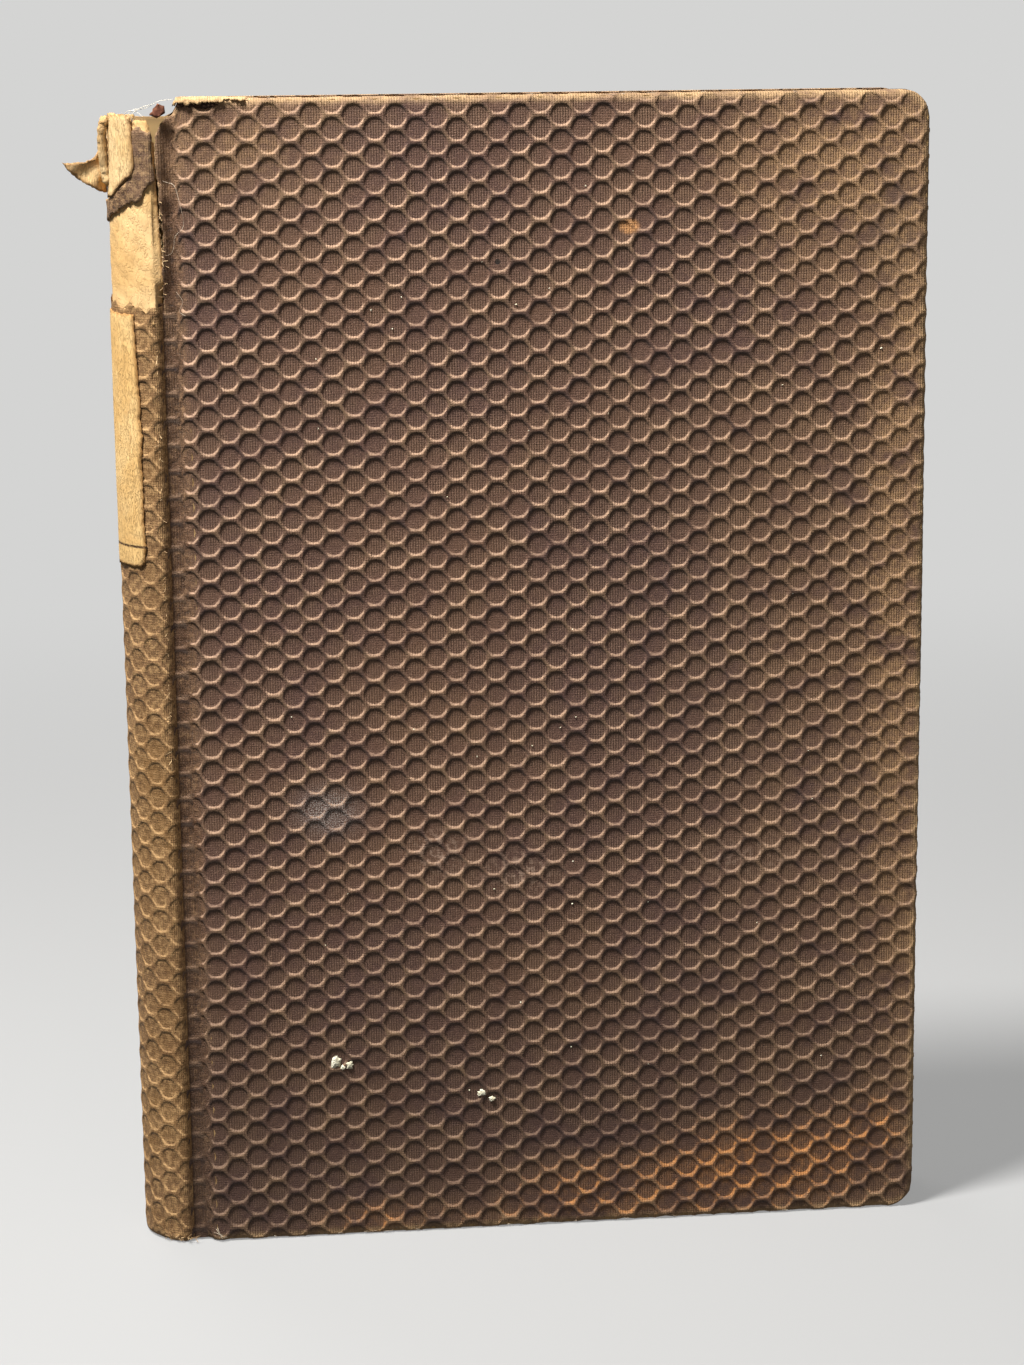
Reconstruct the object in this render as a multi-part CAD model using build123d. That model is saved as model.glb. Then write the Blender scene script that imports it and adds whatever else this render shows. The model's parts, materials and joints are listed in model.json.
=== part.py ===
"""A worn cloth-bound hardback book, standing upright on its tail edge.

Units are millimetres. +Z is up, towards the head of the book. The front cover faces -Y, the
spine is at -X and the fore-edge at +X. The origin is at the bottom centre of the whole book.

The case is two boards covered in one cloth, with a card inlay in the spine. It is a hollow
back: the case spine is not glued to the text block. Each cover turns about a hinge line where
the cloth runs down into the joint groove, so the cloth is cut there into three solids.
The head of the spine cloth is torn away, which bares the inlay and leaves scraps behind.
"""

from build123d import *
from math import cos, radians, sin, tan
import os

# ---- Driving sizes: the case ----
board_height = 188.0  # head to tail over the cloth
cover_reach = 122.2  # hinge line to the fore-edge, over the cloth
book_thickness = 19.0  # outside of front cover to outside of back cover
board_thickness = 2.2
cloth_thickness = 0.4
paste_film = 0.03  # left between glued curved faces
corner_radius = 4.5  # worn fore-edge corners
cloth_edge_radius = 0.8  # softened outer edges of the covers
turn_in = 14.0  # cloth folded to the inside of each cover

# ---- Driving sizes: the joint and the spine ----
groove_floor_width = 2.2
groove_wall_run = 0.9  # groove floor to the board's flat face, along X
groove_depth = 1.4
hinge_gap = 0.3  # cut between cover cloth and spine cloth at the hinge line
hinge_proud = 0.15  # hinge axis stands this far outside the covers
spine_swell = 0.2  # the round spine stands this much thicker than the covers, each side
spine_centre_x = 1.2  # centre of the round spine, from the hinge line
shoulder_angle = 20.0  # where the round leaves the spine arc, degrees from Y
shoulder_slope = 48.0  # descent from the shoulder into the groove, degrees
shoulder_softness = 0.85  # share of the shoulder's straight run that the rounding uses up
inlay_thickness = 0.5
inlay_half_angle = 62.0  # degrees from -X
inlay_head_loss = 2.2  # the inlay is worn short at the head
tail_turn_in = 12.0

# ---- Driving sizes: the text block ----
square = 3.0  # boards stand proud of the pages at head, tail and fore-edge
fore_edge_hollow = 2.5
paper_thickness = 0.15  # endpapers
cover_clearance = 0.15  # pastedown to flyleaf, closed
pastedown_margin = 3.5  # turn-in left showing round the pastedown
super_thickness = 0.2
lining_thickness = 0.15
hollow_back = 0.75  # inlay to the paper lining
super_wing_width = 20.0
super_margin = 15.0  # super stops short of head and tail
lining_half_angle = 66.0
flare_reach = 5.2  # length over which the pages swell into the shoulder
cord_diameter = 1.4
cord_clearance = 0.05
cord_half_angle = 58.0
cord_heights = (0.19, 0.5, 0.81)  # shares of the board height

# ---- Driving sizes: what is torn at the head, and the label ----
cloth_tear_drop = 31.0  # spine cloth is lost from the head down to here
label_thickness = 0.15
label_half_angle = 54.0
label_drop = 34.2  # head of the book to the label's top
label_height = 40.8
scrap_thickness = 0.3
curl_thickness = 0.5
curl_reach = 6.3  # how far the torn lining curls out past the spine

# ---- Worked-out places, measured from the hinge line and the middle plane ----
half_thickness = book_thickness / 2
spine_radius = half_thickness + spine_swell
board_outer_y = half_thickness - cloth_thickness
board_inner_y = board_outer_y - board_thickness
pastedown_inner_y = board_inner_y - paper_thickness
flyleaf_outer_y = pastedown_inner_y - cover_clearance
block_half = flyleaf_outer_y - paper_thickness
board_joint_x = groove_floor_width + groove_wall_run
spine_back_x = spine_centre_x - spine_radius
curl_tip_x = spine_back_x - curl_reach
middle_x = (curl_tip_x + cover_reach) / 2
inlay_outer_radius = spine_radius - cloth_thickness - paste_film
inlay_inner_radius = inlay_outer_radius - inlay_thickness
lining_outer_radius = inlay_inner_radius - hollow_back
super_outer_radius = lining_outer_radius - lining_thickness - paste_film
block_back_radius = super_outer_radius - super_thickness - paste_film
block_height = board_height - 2 * square
block_fore_x = cover_reach - square
flank_start_x = board_joint_x + flare_reach / 4
hinge_y = half_thickness + hinge_proud
far = 4 * board_height  # longer than anything it cuts


def slab(x0, x1, y0, y1, z0, z1):
    """A box given by its two corners."""
    size = (abs(x1 - x0), abs(y1 - y0), abs(z1 - z0))
    return Pos((x0 + x1) / 2, (y0 + y1) / 2, (z0 + z1) / 2) * Box(*size)


def upright(section, z0, z1):
    """A section in the XY plane, raised from z0 to z1."""
    return Pos(0, 0, z0) * extrude(section, z1 - z0)


def arc_band(inner, outer, half_angle, z0, z1):
    """A curved sheet that follows the round of the spine, half_angle each side of -X."""
    ring = Circle(outer) - Circle(inner)
    corner = (-far * cos(radians(half_angle)), far * sin(radians(half_angle)))
    wedge = make_face(Polyline((0, 0), corner, (-far, 0), (corner[0], -corner[1]), (0, 0)))
    return Pos(spine_centre_x, 0, 0) * upright(ring & wedge, z0, z1)


def side_cut(points, y0, y1):
    """A prism along Y over an outline of (x, z) points, for trimming torn pieces."""
    outline = make_face(Polyline(*[(x, 0, z) for x, z in points], (points[0][0], 0, points[0][1])))
    prism = extrude(outline, far, dir=(0, 1, 0), both=True)
    return prism & slab(-far, far, y0, y1, -far, far)


def export(shape, name):
    """Moves a piece from hinge-line coordinates to the book's frame and writes it."""
    export_step(Pos(-middle_x, 0, 0) * shape, f"parts/{name}.step")


def two_lines(normal_a, reach_a, normal_b, reach_b):
    """The point where two lines, each given by normal . point = reach, cross."""
    det = normal_a[0] * normal_b[1] - normal_a[1] * normal_b[0]
    x = (reach_a * normal_b[1] - reach_b * normal_a[1]) / det
    y = (normal_a[0] * reach_b - normal_b[0] * reach_a) / det
    return x, y


def spine_region(inset):
    """The case spine's section from joint to joint, shrunk by inset on its outside."""
    radius = spine_radius - inset
    floor = half_thickness - groove_depth - inset
    lean, slope = radians(shoulder_angle), radians(shoulder_slope)
    crown_normal = (-sin(lean), cos(lean))
    crown_reach = radius - spine_centre_x * sin(lean)
    wall_normal = (sin(slope), cos(slope))
    wall_reach = wall_normal[1] * (half_thickness - groove_depth) - inset
    start = (spine_centre_x - radius * sin(lean), radius * cos(lean))
    crown = two_lines(crown_normal, crown_reach, wall_normal, wall_reach)
    foot = two_lines(wall_normal, wall_reach, (0, 1), floor)
    cut_x = -hinge_gap / 2
    foot = (min(foot[0], cut_x - 0.01), foot[1])
    back = (spine_centre_x - radius, 0)
    edges = [
        Polyline((cut_x, -floor), (foot[0], -foot[1]), (crown[0], -crown[1]), (start[0], -start[1])),
        ThreePointArc((start[0], -start[1]), back, start),
        Polyline(start, crown, foot, (cut_x, floor)),
        Line((cut_x, floor), (cut_x, -floor)),
    ]
    face = make_face(edges)
    crowns = [v for v in face.vertices() if abs(v.X - crown[0]) < 1e-4]
    run = (crown[0] - start[0]) / cos(lean)
    return fillet(crowns, shoulder_softness * run / tan((lean + slope) / 2))


def cover_plate(grow, y_outer):
    """A cover's slab with round fore-edge corners, from the inner face out to y_outer."""
    x0, x1 = board_joint_x - grow + cloth_thickness, cover_reach - cloth_thickness + grow
    z0, z1 = cloth_thickness - grow, board_height - cloth_thickness + grow
    plate = slab(x0, x1, board_inner_y, y_outer, z0, z1)
    corners = plate.edges().filter_by(Axis.Y).group_by(Axis.X)[-1]
    return fillet(corners, corner_radius - cloth_thickness + grow)


def board():
    """Pasteboard, pressed back where the turned-in cloth lies on its inner face."""
    full = cover_plate(0, board_outer_y)
    window_x = (board_joint_x + cloth_thickness, cover_reach - turn_in)
    window = slab(*window_x, 0, board_outer_y, turn_in, board_height - turn_in)
    pressed = full & slab(-far, far, board_inner_y + cloth_thickness, far, -far, far)
    wing = super_wing(super_thickness)
    return (pressed + (full & window)) - wing


def super_wing(thickness):
    """The flap of open-weave cloth from the spine, glued under the pastedown."""
    x0 = board_joint_x + cloth_thickness + 0.6
    z0, z1 = super_margin, board_height - super_margin
    return slab(x0, x0 + super_wing_width, board_inner_y, board_inner_y + thickness, z0, z1)


def cover_cloth(board_solid):
    """Cloth over a board and round its edges, with the strip down to the hinge line."""
    wrap = cover_plate(cloth_thickness, half_thickness)
    outer = wrap.faces().sort_by(Axis.Y)[-1].edges()
    wrap = fillet(outer, cloth_edge_radius)
    floor = half_thickness - groove_depth
    strip = slab(hinge_gap / 2, board_joint_x + 0.2, floor - cloth_thickness, floor, 0, board_height)
    return (wrap - board_solid + strip) - board_solid - super_wing(super_thickness)


def pastedown():
    """The endpaper leaf glued inside a cover."""
    x0, x1 = board_joint_x, cover_reach - pastedown_margin
    z0, z1 = pastedown_margin, board_height - pastedown_margin
    return slab(x0, x1, pastedown_inner_y, board_inner_y, z0, z1)


def flyleaf():
    """The endpaper leaf that lies on the pages."""
    z0, z1 = square, board_height - square
    return slab(flank_start_x, block_fore_x, block_half, flyleaf_outer_y, z0, z1)


def block_section():
    """The pages' section: round back, swelling shoulders, flat sides, hollow fore-edge."""
    angle = radians(lining_half_angle + 2)
    shoulder = (spine_centre_x - block_back_radius * cos(angle), block_back_radius * sin(angle))
    flank = (flank_start_x, block_half)
    fore = (block_fore_x, block_half)
    edges = [
        Polyline(shoulder, flank, fore),
        ThreePointArc(fore, (block_fore_x - fore_edge_hollow, 0), (fore[0], -fore[1])),
        Polyline((fore[0], -fore[1]), (flank[0], -flank[1]), (shoulder[0], -shoulder[1])),
        ThreePointArc(
            (shoulder[0], -shoulder[1]),
            (spine_centre_x - block_back_radius, 0),
            shoulder,
        ),
    ]
    return make_face(edges)


def ring_cut(inner, outer, height, z):
    """A sawn kerf round the back of the pages."""
    ring = Circle(outer) - Circle(inner)
    return Pos(spine_centre_x, 0, 0) * upright(ring, z - height / 2, z + height / 2)


def sewing_cord(z):
    """A hemp cord let into the back of the pages, following the round."""
    reach = block_back_radius - cord_diameter / 2
    bead = Pos(-reach, 0, 0) * (Plane.XZ * Circle(cord_diameter / 2))
    swept = revolve(Rot(0, 0, -cord_half_angle) * bead, Axis.Z, 2 * cord_half_angle)
    return Pos(spine_centre_x, 0, z) * swept


def text_block(cord_levels):
    """All the leaves as one solid, with kerfs for the cords."""
    block = upright(block_section(), square, board_height - square)
    kerf_height = cord_diameter + 2 * cord_clearance
    for z in cord_levels:
        depth = block_back_radius - cord_diameter - cord_clearance
        block -= ring_cut(depth, block_back_radius + 1, kerf_height, z)
    return block


def spine_cloth():
    """Cloth over the spine, torn off below the head and turned in at the tail."""
    top = board_height - cloth_tear_drop
    shell = upright(spine_region(0) - spine_region(cloth_thickness), 0, top)
    fold = arc_band(
        inlay_inner_radius - paste_film - cloth_thickness,
        spine_radius - cloth_thickness / 2,
        inlay_half_angle - 4,
        0,
        tail_turn_in,
    )
    pocket = arc_band(
        inlay_inner_radius - paste_film,
        spine_radius - cloth_thickness,
        inlay_half_angle + 4,
        cloth_thickness,
        tail_turn_in + 1,
    )
    return shell + (fold - pocket)


def spine_inlay():
    """The card stiffener, bare at the head where the cloth is gone."""
    foot = cloth_thickness + paste_film
    head = board_height - inlay_head_loss
    return arc_band(inlay_inner_radius, inlay_outer_radius, inlay_half_angle, foot, head)


def cloth_scrap():
    """The scrap of cloth still stuck near the head, with a slanting torn edge."""
    band = arc_band(
        inlay_outer_radius + paste_film, spine_radius, inlay_half_angle + 8, 0, board_height
    )
    head = board_height
    outline = [
        (spine_back_x - 1, head - 18.5),
        (spine_back_x + 2.4, head - 17.3),
        (spine_back_x + 6.6, head - 13.2),
        (spine_back_x + 6.6, head - 5.6),
        (spine_back_x - 1, head - 5.0),
    ]
    return band & side_cut(outline, -far, 2.0)


def lining_strip():
    """A torn strip of spine paper that lies over the scrap."""
    inner = spine_radius + paste_film
    band = arc_band(inner, inner + scrap_thickness, 88, 0, board_height)
    head = board_height
    outline = [
        (spine_back_x - 1, head - 13.6),
        (spine_back_x + 2.8, head - 11.8),
        (spine_back_x + 3.4, head - 10.2),
        (spine_back_x + 3.2, head - 2.4),
        (spine_back_x - 1, head - 2.0),
    ]
    return band & side_cut(outline, -far, 1.0)


def lining_curl():
    """Torn spine paper that curls out past the back of the spine to a point."""
    root = (spine_back_x - scrap_thickness - paste_film, 3.0)
    bend = (spine_back_x - curl_reach * 0.45, 0.4)
    tip = (curl_tip_x - 0.5, -2.6)
    ribbon = ThreePointArc(root, bend, tip)
    outer = offset(ribbon, curl_thickness, side=Side.LEFT)
    plate = upright(make_face(outer), 0, board_height)
    head = board_height
    outline = [
        (spine_back_x + 1.5, head - 2.2),
        (spine_back_x - 1.2, head - 3.4),
        (spine_back_x - 1.9, head - 7.4),
        (curl_tip_x, head - 9.2),
        (spine_back_x - 4.6, head - 11.7),
        (spine_back_x - 2.2, head - 13.4),
        (spine_back_x + 1.5, head - 13.0),
    ]
    return plate & side_cut(outline, -far, far)


def paper_label():
    """The paper title label, left bare."""
    top = board_height - label_drop
    inner = spine_radius + paste_film
    return arc_band(inner, inner + label_thickness, label_half_angle, top - label_height, top)


def both_covers():
    """Front and back pieces: the back is the plain build, the front its mirror image."""
    board_solid = board()
    pieces = {
        "board": board_solid,
        "cloth": cover_cloth(board_solid),
        "super_wing": super_wing(super_thickness),
        "pastedown": pastedown(),
        "flyleaf": flyleaf(),
    }
    for name, piece in pieces.items():
        export(piece, f"back_{name}")
        export(mirror(piece, about=Plane.XZ), f"front_{name}")


def main():
    os.makedirs("parts", exist_ok=True)
    both_covers()
    cord_levels = [share * board_height for share in cord_heights]
    export(text_block(cord_levels), "text_block")
    for name, z in zip(("tail", "middle", "head"), cord_levels):
        export(sewing_cord(z), f"sewing_cord_{name}")
    super_z = (super_margin, board_height - super_margin)
    super_inner = block_back_radius + paste_film
    export(arc_band(super_inner, super_outer_radius, lining_half_angle, *super_z), "spine_super")
    lining_z = (square + 1, board_height - square - 1)
    lining_inner = super_outer_radius + paste_film
    lining = arc_band(lining_inner, lining_outer_radius, lining_half_angle, *lining_z)
    export(lining, "spine_paper_lining")
    export(spine_inlay(), "spine_inlay")
    export(spine_cloth(), "spine_cloth")
    export(cloth_scrap(), "head_cloth_scrap")
    export(lining_strip(), "head_lining_strip")
    export(lining_curl(), "torn_lining_curl")
    export(paper_label(), "paper_label")
    print("hinge line at x", -middle_x, "y", hinge_y)


main()
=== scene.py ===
"""Looks for a worn cloth-bound hardback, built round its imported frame.

Lengths in this script are millimetres until a mesh is made: x from the hinge line towards the
fore-edge, y from the middle of the book towards the back cover, z up from the tail. A cloth sheet
is first laid out flat, as (u, z): u runs along the case's outline from the hinge line, positive
over a cover and negative round the spine. Each sheet keeps that layout in its "flat" attribute.
"""

import json
import math

import bpy
import numpy as np
from mathutils import Matrix, Vector
from mathutils.geometry import delaunay_2d_cdt


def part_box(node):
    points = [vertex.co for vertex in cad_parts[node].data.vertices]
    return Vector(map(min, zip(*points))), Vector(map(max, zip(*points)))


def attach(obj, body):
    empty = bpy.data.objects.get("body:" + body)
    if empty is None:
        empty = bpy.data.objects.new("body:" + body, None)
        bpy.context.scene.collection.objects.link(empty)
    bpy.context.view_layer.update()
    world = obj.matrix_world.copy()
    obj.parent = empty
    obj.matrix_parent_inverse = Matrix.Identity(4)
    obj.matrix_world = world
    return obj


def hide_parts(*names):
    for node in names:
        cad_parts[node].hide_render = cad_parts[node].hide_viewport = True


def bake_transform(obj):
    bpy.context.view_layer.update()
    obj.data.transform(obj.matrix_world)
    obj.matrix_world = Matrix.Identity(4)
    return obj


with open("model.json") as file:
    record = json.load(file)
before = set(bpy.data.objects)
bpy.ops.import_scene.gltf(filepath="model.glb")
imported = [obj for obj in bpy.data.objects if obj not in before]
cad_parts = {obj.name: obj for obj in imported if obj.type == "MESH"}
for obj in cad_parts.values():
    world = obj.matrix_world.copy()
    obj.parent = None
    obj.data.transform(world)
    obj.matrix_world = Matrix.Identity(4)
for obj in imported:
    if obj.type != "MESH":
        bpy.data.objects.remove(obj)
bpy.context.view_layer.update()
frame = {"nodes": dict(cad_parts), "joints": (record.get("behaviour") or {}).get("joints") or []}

bl_info = {
    "name": "Worn hardback looks",
    "version": (1, 0, 0),
    "blender": (4, 5, 0),
    "location": "View3D > Sidebar > Hardback",
    "description": "Builds the cloth, paper and wear of an old hardback on its packed frame",
    "category": "Object",
}

MM = 0.001
HINGE_X = frame["joints"][0]["pos_m"][0] / MM
COVER_LOW, COVER_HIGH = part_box("front_cloth")
REACH = COVER_HIGH.x / MM - HINGE_X
HEIGHT = COVER_HIGH.z / MM
HALF = -COVER_LOW.y / MM
INNER = -COVER_HIGH.y / MM
SPINE_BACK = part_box("spine_cloth")[0].x / MM - HINGE_X
SPINE_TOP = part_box("spine_cloth")[1].z / MM
BLOCK_LOW, BLOCK_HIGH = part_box("text_block")
BLOCK_BACK, BLOCK_FORE = BLOCK_LOW.x / MM - HINGE_X, BLOCK_HIGH.x / MM - HINGE_X
BLOCK_Z = (BLOCK_LOW.z / MM, BLOCK_HIGH.z / MM)
SPINE_CENTRE = 1.2
SPINE_RADIUS = SPINE_CENTRE - SPINE_BACK
EDGE_ROUND = 0.8
CORNER = 4.5
GROOVE_DEPTH = 1.4
RIB_PITCH = 0.42
WEFT_PITCH = 0.4
FLOOR_Y = HALF - GROOVE_DEPTH
FLAP = EDGE_ROUND * (math.pi / 2 - 1) + HALF - INNER


# ---------------------------------------------------------------- the case's outline

def smooth_path(points, step=0.04, window=0.8):
    """Resamples a polyline evenly and rounds its corners."""
    points = np.array(points, float)
    reach = np.r_[0, np.cumsum(np.hypot(*np.diff(points, axis=0).T))]
    at = np.arange(0, reach[-1], step)
    path = np.stack([np.interp(at, reach, points[:, k]) for k in (0, 1)], 1)
    width = int(window / step) | 1
    padded = np.pad(path, ((width // 2, width // 2), (0, 0)), "reflect", reflect_type="odd")
    kernel = np.hanning(width + 2)[1:-1]
    kernel /= kernel.sum()
    return np.stack([np.convolve(padded[:, k], kernel, "valid") for k in (0, 1)], 1)


class Outline:
    """Half of the case's outline, from the middle of the spine over the joint to a cover."""

    def __init__(self):
        lean = np.radians(np.linspace(90, 20, 90))
        arc = np.stack([SPINE_CENTRE - SPINE_RADIUS * np.sin(lean), SPINE_RADIUS * np.cos(lean)], 1)
        joint = [(-1.25, 9.4), (-0.2, FLOOR_Y), (2.3, FLOOR_Y), (3.3, HALF - 0.1), (4.2, HALF), (12, HALF)]
        path = smooth_path(np.vstack([arc, joint]))
        path[0] = arc[0]
        steps = np.hypot(*np.diff(path, axis=0).T)
        self.u = np.r_[0, np.cumsum(steps)]
        self.x, self.y = path.T
        past_crown = self.u > 14
        self.u -= np.interp(0, self.x[past_crown], self.u[past_crown])
        slope = np.gradient(path, axis=0)
        slope /= np.linalg.norm(slope, axis=1)[:, None]
        self.nx, self.ny = -slope[:, 1], slope[:, 0]
        self.middle = self.u[0]

    def at(self, u):
        """Place and outward direction in the half with y above 0."""
        over = np.maximum(u - self.u[-1], 0)
        pick = [np.interp(u, self.u, a) for a in (self.x, self.y, self.nx, self.ny)]
        pick[0] = pick[0] + over
        return pick

    def u_at(self, x):
        """How far along the outline a given x lies, on the joint and spine side."""
        return np.interp(x, self.x, self.u)


OUTLINE = Outline()
U_FORE = OUTLINE.u[-1] + REACH - OUTLINE.x[-1]
U_MIDDLE = OUTLINE.middle


def on_spine(t, z, lift):
    """Round the spine: t is 0 at the middle of its back, below 0 towards the front cover."""
    x, y, nx, ny = OUTLINE.at(np.abs(t) + U_MIDDLE)
    sign = np.where(t < 0, -1.0, 1.0)
    return np.stack([x + nx * lift, (y + ny * lift) * sign, z], 1)


def on_cover(u, z, lift, side):
    """Over a cover's face and round its edges. Returns the places and how far past the edge."""
    core_u = np.minimum(u, U_FORE - CORNER)
    core_z = np.clip(z, CORNER, HEIGHT - CORNER)
    away = np.stack([u - core_u, z - core_z], 1)
    reach = np.linalg.norm(away, axis=1)
    away /= np.maximum(reach, 1e-9)[:, None]
    past = np.minimum(reach - CORNER + EDGE_ROUND, FLAP + EDGE_ROUND)
    outside = past > 0
    turn = np.clip(past / EDGE_ROUND, 0, math.pi / 2)
    run = EDGE_ROUND * np.sin(turn)
    depth = EDGE_ROUND * (1 - np.cos(turn)) + np.maximum(past - EDGE_ROUND * math.pi / 2, 0)
    radius = np.where(outside, CORNER - EDGE_ROUND + run, reach)
    flat_u, flat_z = core_u + away[:, 0] * radius, core_z + away[:, 1] * radius
    x, y, nx, ny = OUTLINE.at(flat_u)
    y = np.maximum(y - np.where(outside, depth, 0), np.minimum(y, INNER))
    face = np.where(outside, np.cos(turn), 1.0)
    rim = np.where(outside, np.sin(turn), 0.0)
    px = x + lift * (nx * face + away[:, 0] * rim)
    py = y + lift * ny * face
    pz = flat_z + lift * away[:, 1] * rim
    return np.stack([px, py * side, pz], 1), past


# ---------------------------------------------------------------- meshes

def new_piece(name, places, faces, material, body=None, smooth=True, attributes=None):
    """A mesh object from places in millimetres, riding on a body."""
    places = (np.asarray(places, float) + (HINGE_X, 0, 0)) * MM
    mesh = bpy.data.meshes.new(name)
    mesh.from_pydata([tuple(p) for p in places.tolist()], [], [tuple(map(int, f)) for f in faces])
    for key, values in (attributes or {}).items():
        values = np.asarray(values, np.float32)
        kind = "FLOAT" if values.ndim == 1 else "FLOAT_VECTOR"
        layer = mesh.attributes.new(key, kind, "POINT")
        layer.data.foreach_set("value" if values.ndim == 1 else "vector", values.ravel())
    mesh.polygons.foreach_set("use_smooth", [smooth] * len(mesh.polygons))
    mesh.materials.append(material)
    mesh.update()
    piece = bpy.data.objects.new(name, mesh)
    bpy.context.scene.collection.objects.link(piece)
    if body:
        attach(piece, body)
    return piece


def flat_vectors(u, z):
    """The flat layout attribute from u and z."""
    return np.stack([u, z, np.zeros_like(u)], 1)


def grid_faces(rows, columns, flip=False):
    """Quads over a grid of points stored row by row."""
    i = np.arange(rows * columns).reshape(rows, columns)
    quads = np.stack([i[:-1, :-1], i[:-1, 1:], i[1:, 1:], i[1:, :-1]], -1).reshape(-1, 4)
    return quads[:, ::-1] if flip else quads


def outline_loop(corners, jag, rng, spacing=0.45):
    """A closed outline with torn, uneven edges. corners: (a, b, torn 0 to 1) points."""
    loop = []
    for (a0, b0, torn), (a1, b1, _) in zip(corners, corners[1:] + corners[:1]):
        length = math.hypot(a1 - a0, b1 - b0)
        count = max(1, int(length / spacing))
        across = np.array([b1 - b0, a0 - a1]) / max(length, 1e-9)
        wander = np.cumsum(rng.normal(0, 1, count + 1))
        wander -= np.linspace(wander[0], wander[-1], count + 1)
        for i in range(count):
            share = i / count
            push = jag * torn * (0.35 * wander[i] + rng.uniform(-0.6, 0.6)) if i else 0
            point = np.array([a0 + (a1 - a0) * share, b0 + (b1 - b0) * share]) + across * push
            loop.append(point)
    return loop


def torn_patch(corners, place, thickness, jag=0.25, seed=1, spacing=0.7, rim=0.45):
    """A thin sheet with a torn outline. place(a, b, lift) gives points in millimetres."""
    rng = np.random.default_rng(seed)
    loop = outline_loop(corners, jag, rng, rim)
    edge = np.array(loop)
    low, high = edge.min(axis=0), edge.max(axis=0)
    a, b = np.meshgrid(np.arange(low[0], high[0], spacing), np.arange(low[1], high[1], spacing))
    inside = np.stack([a.ravel(), b.ravel()], 1) + rng.uniform(-0.1, 0.1, (a.size, 2)) * spacing
    near = np.min(np.linalg.norm(inside[:, None] - edge[None], axis=2), axis=1)
    inside = inside[near > rim * 0.7]
    points = [Vector(p) for p in loop] + [Vector(p) for p in inside]
    flat, _, faces, *_ = delaunay_2d_cdt(points, [], [list(range(len(loop)))], 1, 1e-5)
    flat = np.array([tuple(p) for p in flat])
    faces = [list(f) for f in faces]
    count = len(flat)
    top = place(flat[:, 0], flat[:, 1], np.full(count, thickness))
    under = place(flat[:, 0], flat[:, 1], np.zeros(count))
    sides = {(i, j): None for f in faces for i, j in zip(f, f[1:] + f[:1])}
    rims = [[j, i, i + count, j + count] for i, j in sides if (j, i) not in sides]
    solid = faces + [[i + count for i in reversed(f)] for f in faces] + rims
    distance = np.min(np.linalg.norm(flat[:, None] - edge[None], axis=2), axis=1)
    attributes = {
        "flat": np.tile(flat_vectors(flat[:, 0], flat[:, 1]), (2, 1)),
        "edge": np.tile(distance, 2),
        "relief": np.zeros(2 * count),
    }
    first = faces[0]
    facing = np.cross(top[first[1]] - top[first[0]], top[first[2]] - top[first[0]])
    centre = flat[first].mean(0)[None]
    outward = place(centre[:, 0], centre[:, 1], np.ones(1)) - place(centre[:, 0], centre[:, 1], np.zeros(1))
    if facing @ outward[0] < 0:
        solid = [f[::-1] for f in solid]
    return np.vstack([top, under]), solid, attributes


def tube(path, radius, sides=5):
    """Points and faces of a thin round thread along a path, thinning at its ends."""
    path = np.asarray(path, float)
    ahead = np.gradient(path, axis=0)
    ahead /= np.maximum(np.linalg.norm(ahead, axis=1), 1e-9)[:, None]
    across = np.cross(ahead, (0.3, 0.2, 0.93))
    across /= np.maximum(np.linalg.norm(across, axis=1), 1e-9)[:, None]
    second = np.cross(ahead, across)
    turn = np.linspace(0, 2 * math.pi, sides, endpoint=False)
    share = np.linspace(0, 1, len(path))
    size = radius * np.clip(np.minimum(share, 1 - share) * 8 + 0.35, 0, 1)
    ring = np.cos(turn)[None, :, None] * across[:, None] + np.sin(turn)[None, :, None] * second[:, None]
    places = (path[:, None] + ring * size[:, None, None]).reshape(-1, 3)
    faces = []
    for i in range(len(path) - 1):
        for k in range(sides):
            n = (k + 1) % sides
            faces.append((i * sides + k, i * sides + n, (i + 1) * sides + n, (i + 1) * sides + k))
    faces.append(tuple(range(sides))[::-1])
    faces.append(tuple((len(path) - 1) * sides + k for k in range(sides)))
    return places, faces


def joined(parts):
    """Several (places, faces) as one."""
    places, faces, start = [], [], 0
    for p, f in parts:
        places.append(p)
        faces += [tuple(i + start for i in face) for face in f]
        start += len(p)
    return np.vstack(places), faces


def bent_path(points, count=24):
    """A smooth path through a few points."""
    points = np.asarray(points, float)
    padded = np.vstack([2 * points[0] - points[1], points, 2 * points[-1] - points[-2]])
    path = []
    share = np.linspace(0, 1, max(3, count // (len(points) - 1)), endpoint=False)
    for p0, p1, p2, p3 in zip(padded, padded[1:], padded[2:], padded[3:]):
        for s in share:
            path.append(0.5 * (
                2 * p1 + (p2 - p0) * s + (2 * p0 - 5 * p1 + 4 * p2 - p3) * s * s
                + (3 * p1 - p0 - 3 * p2 + p3) * s ** 3
            ))
    path.append(points[-1])
    return np.array(path)


# ---------------------------------------------------------------- node expressions

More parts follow.
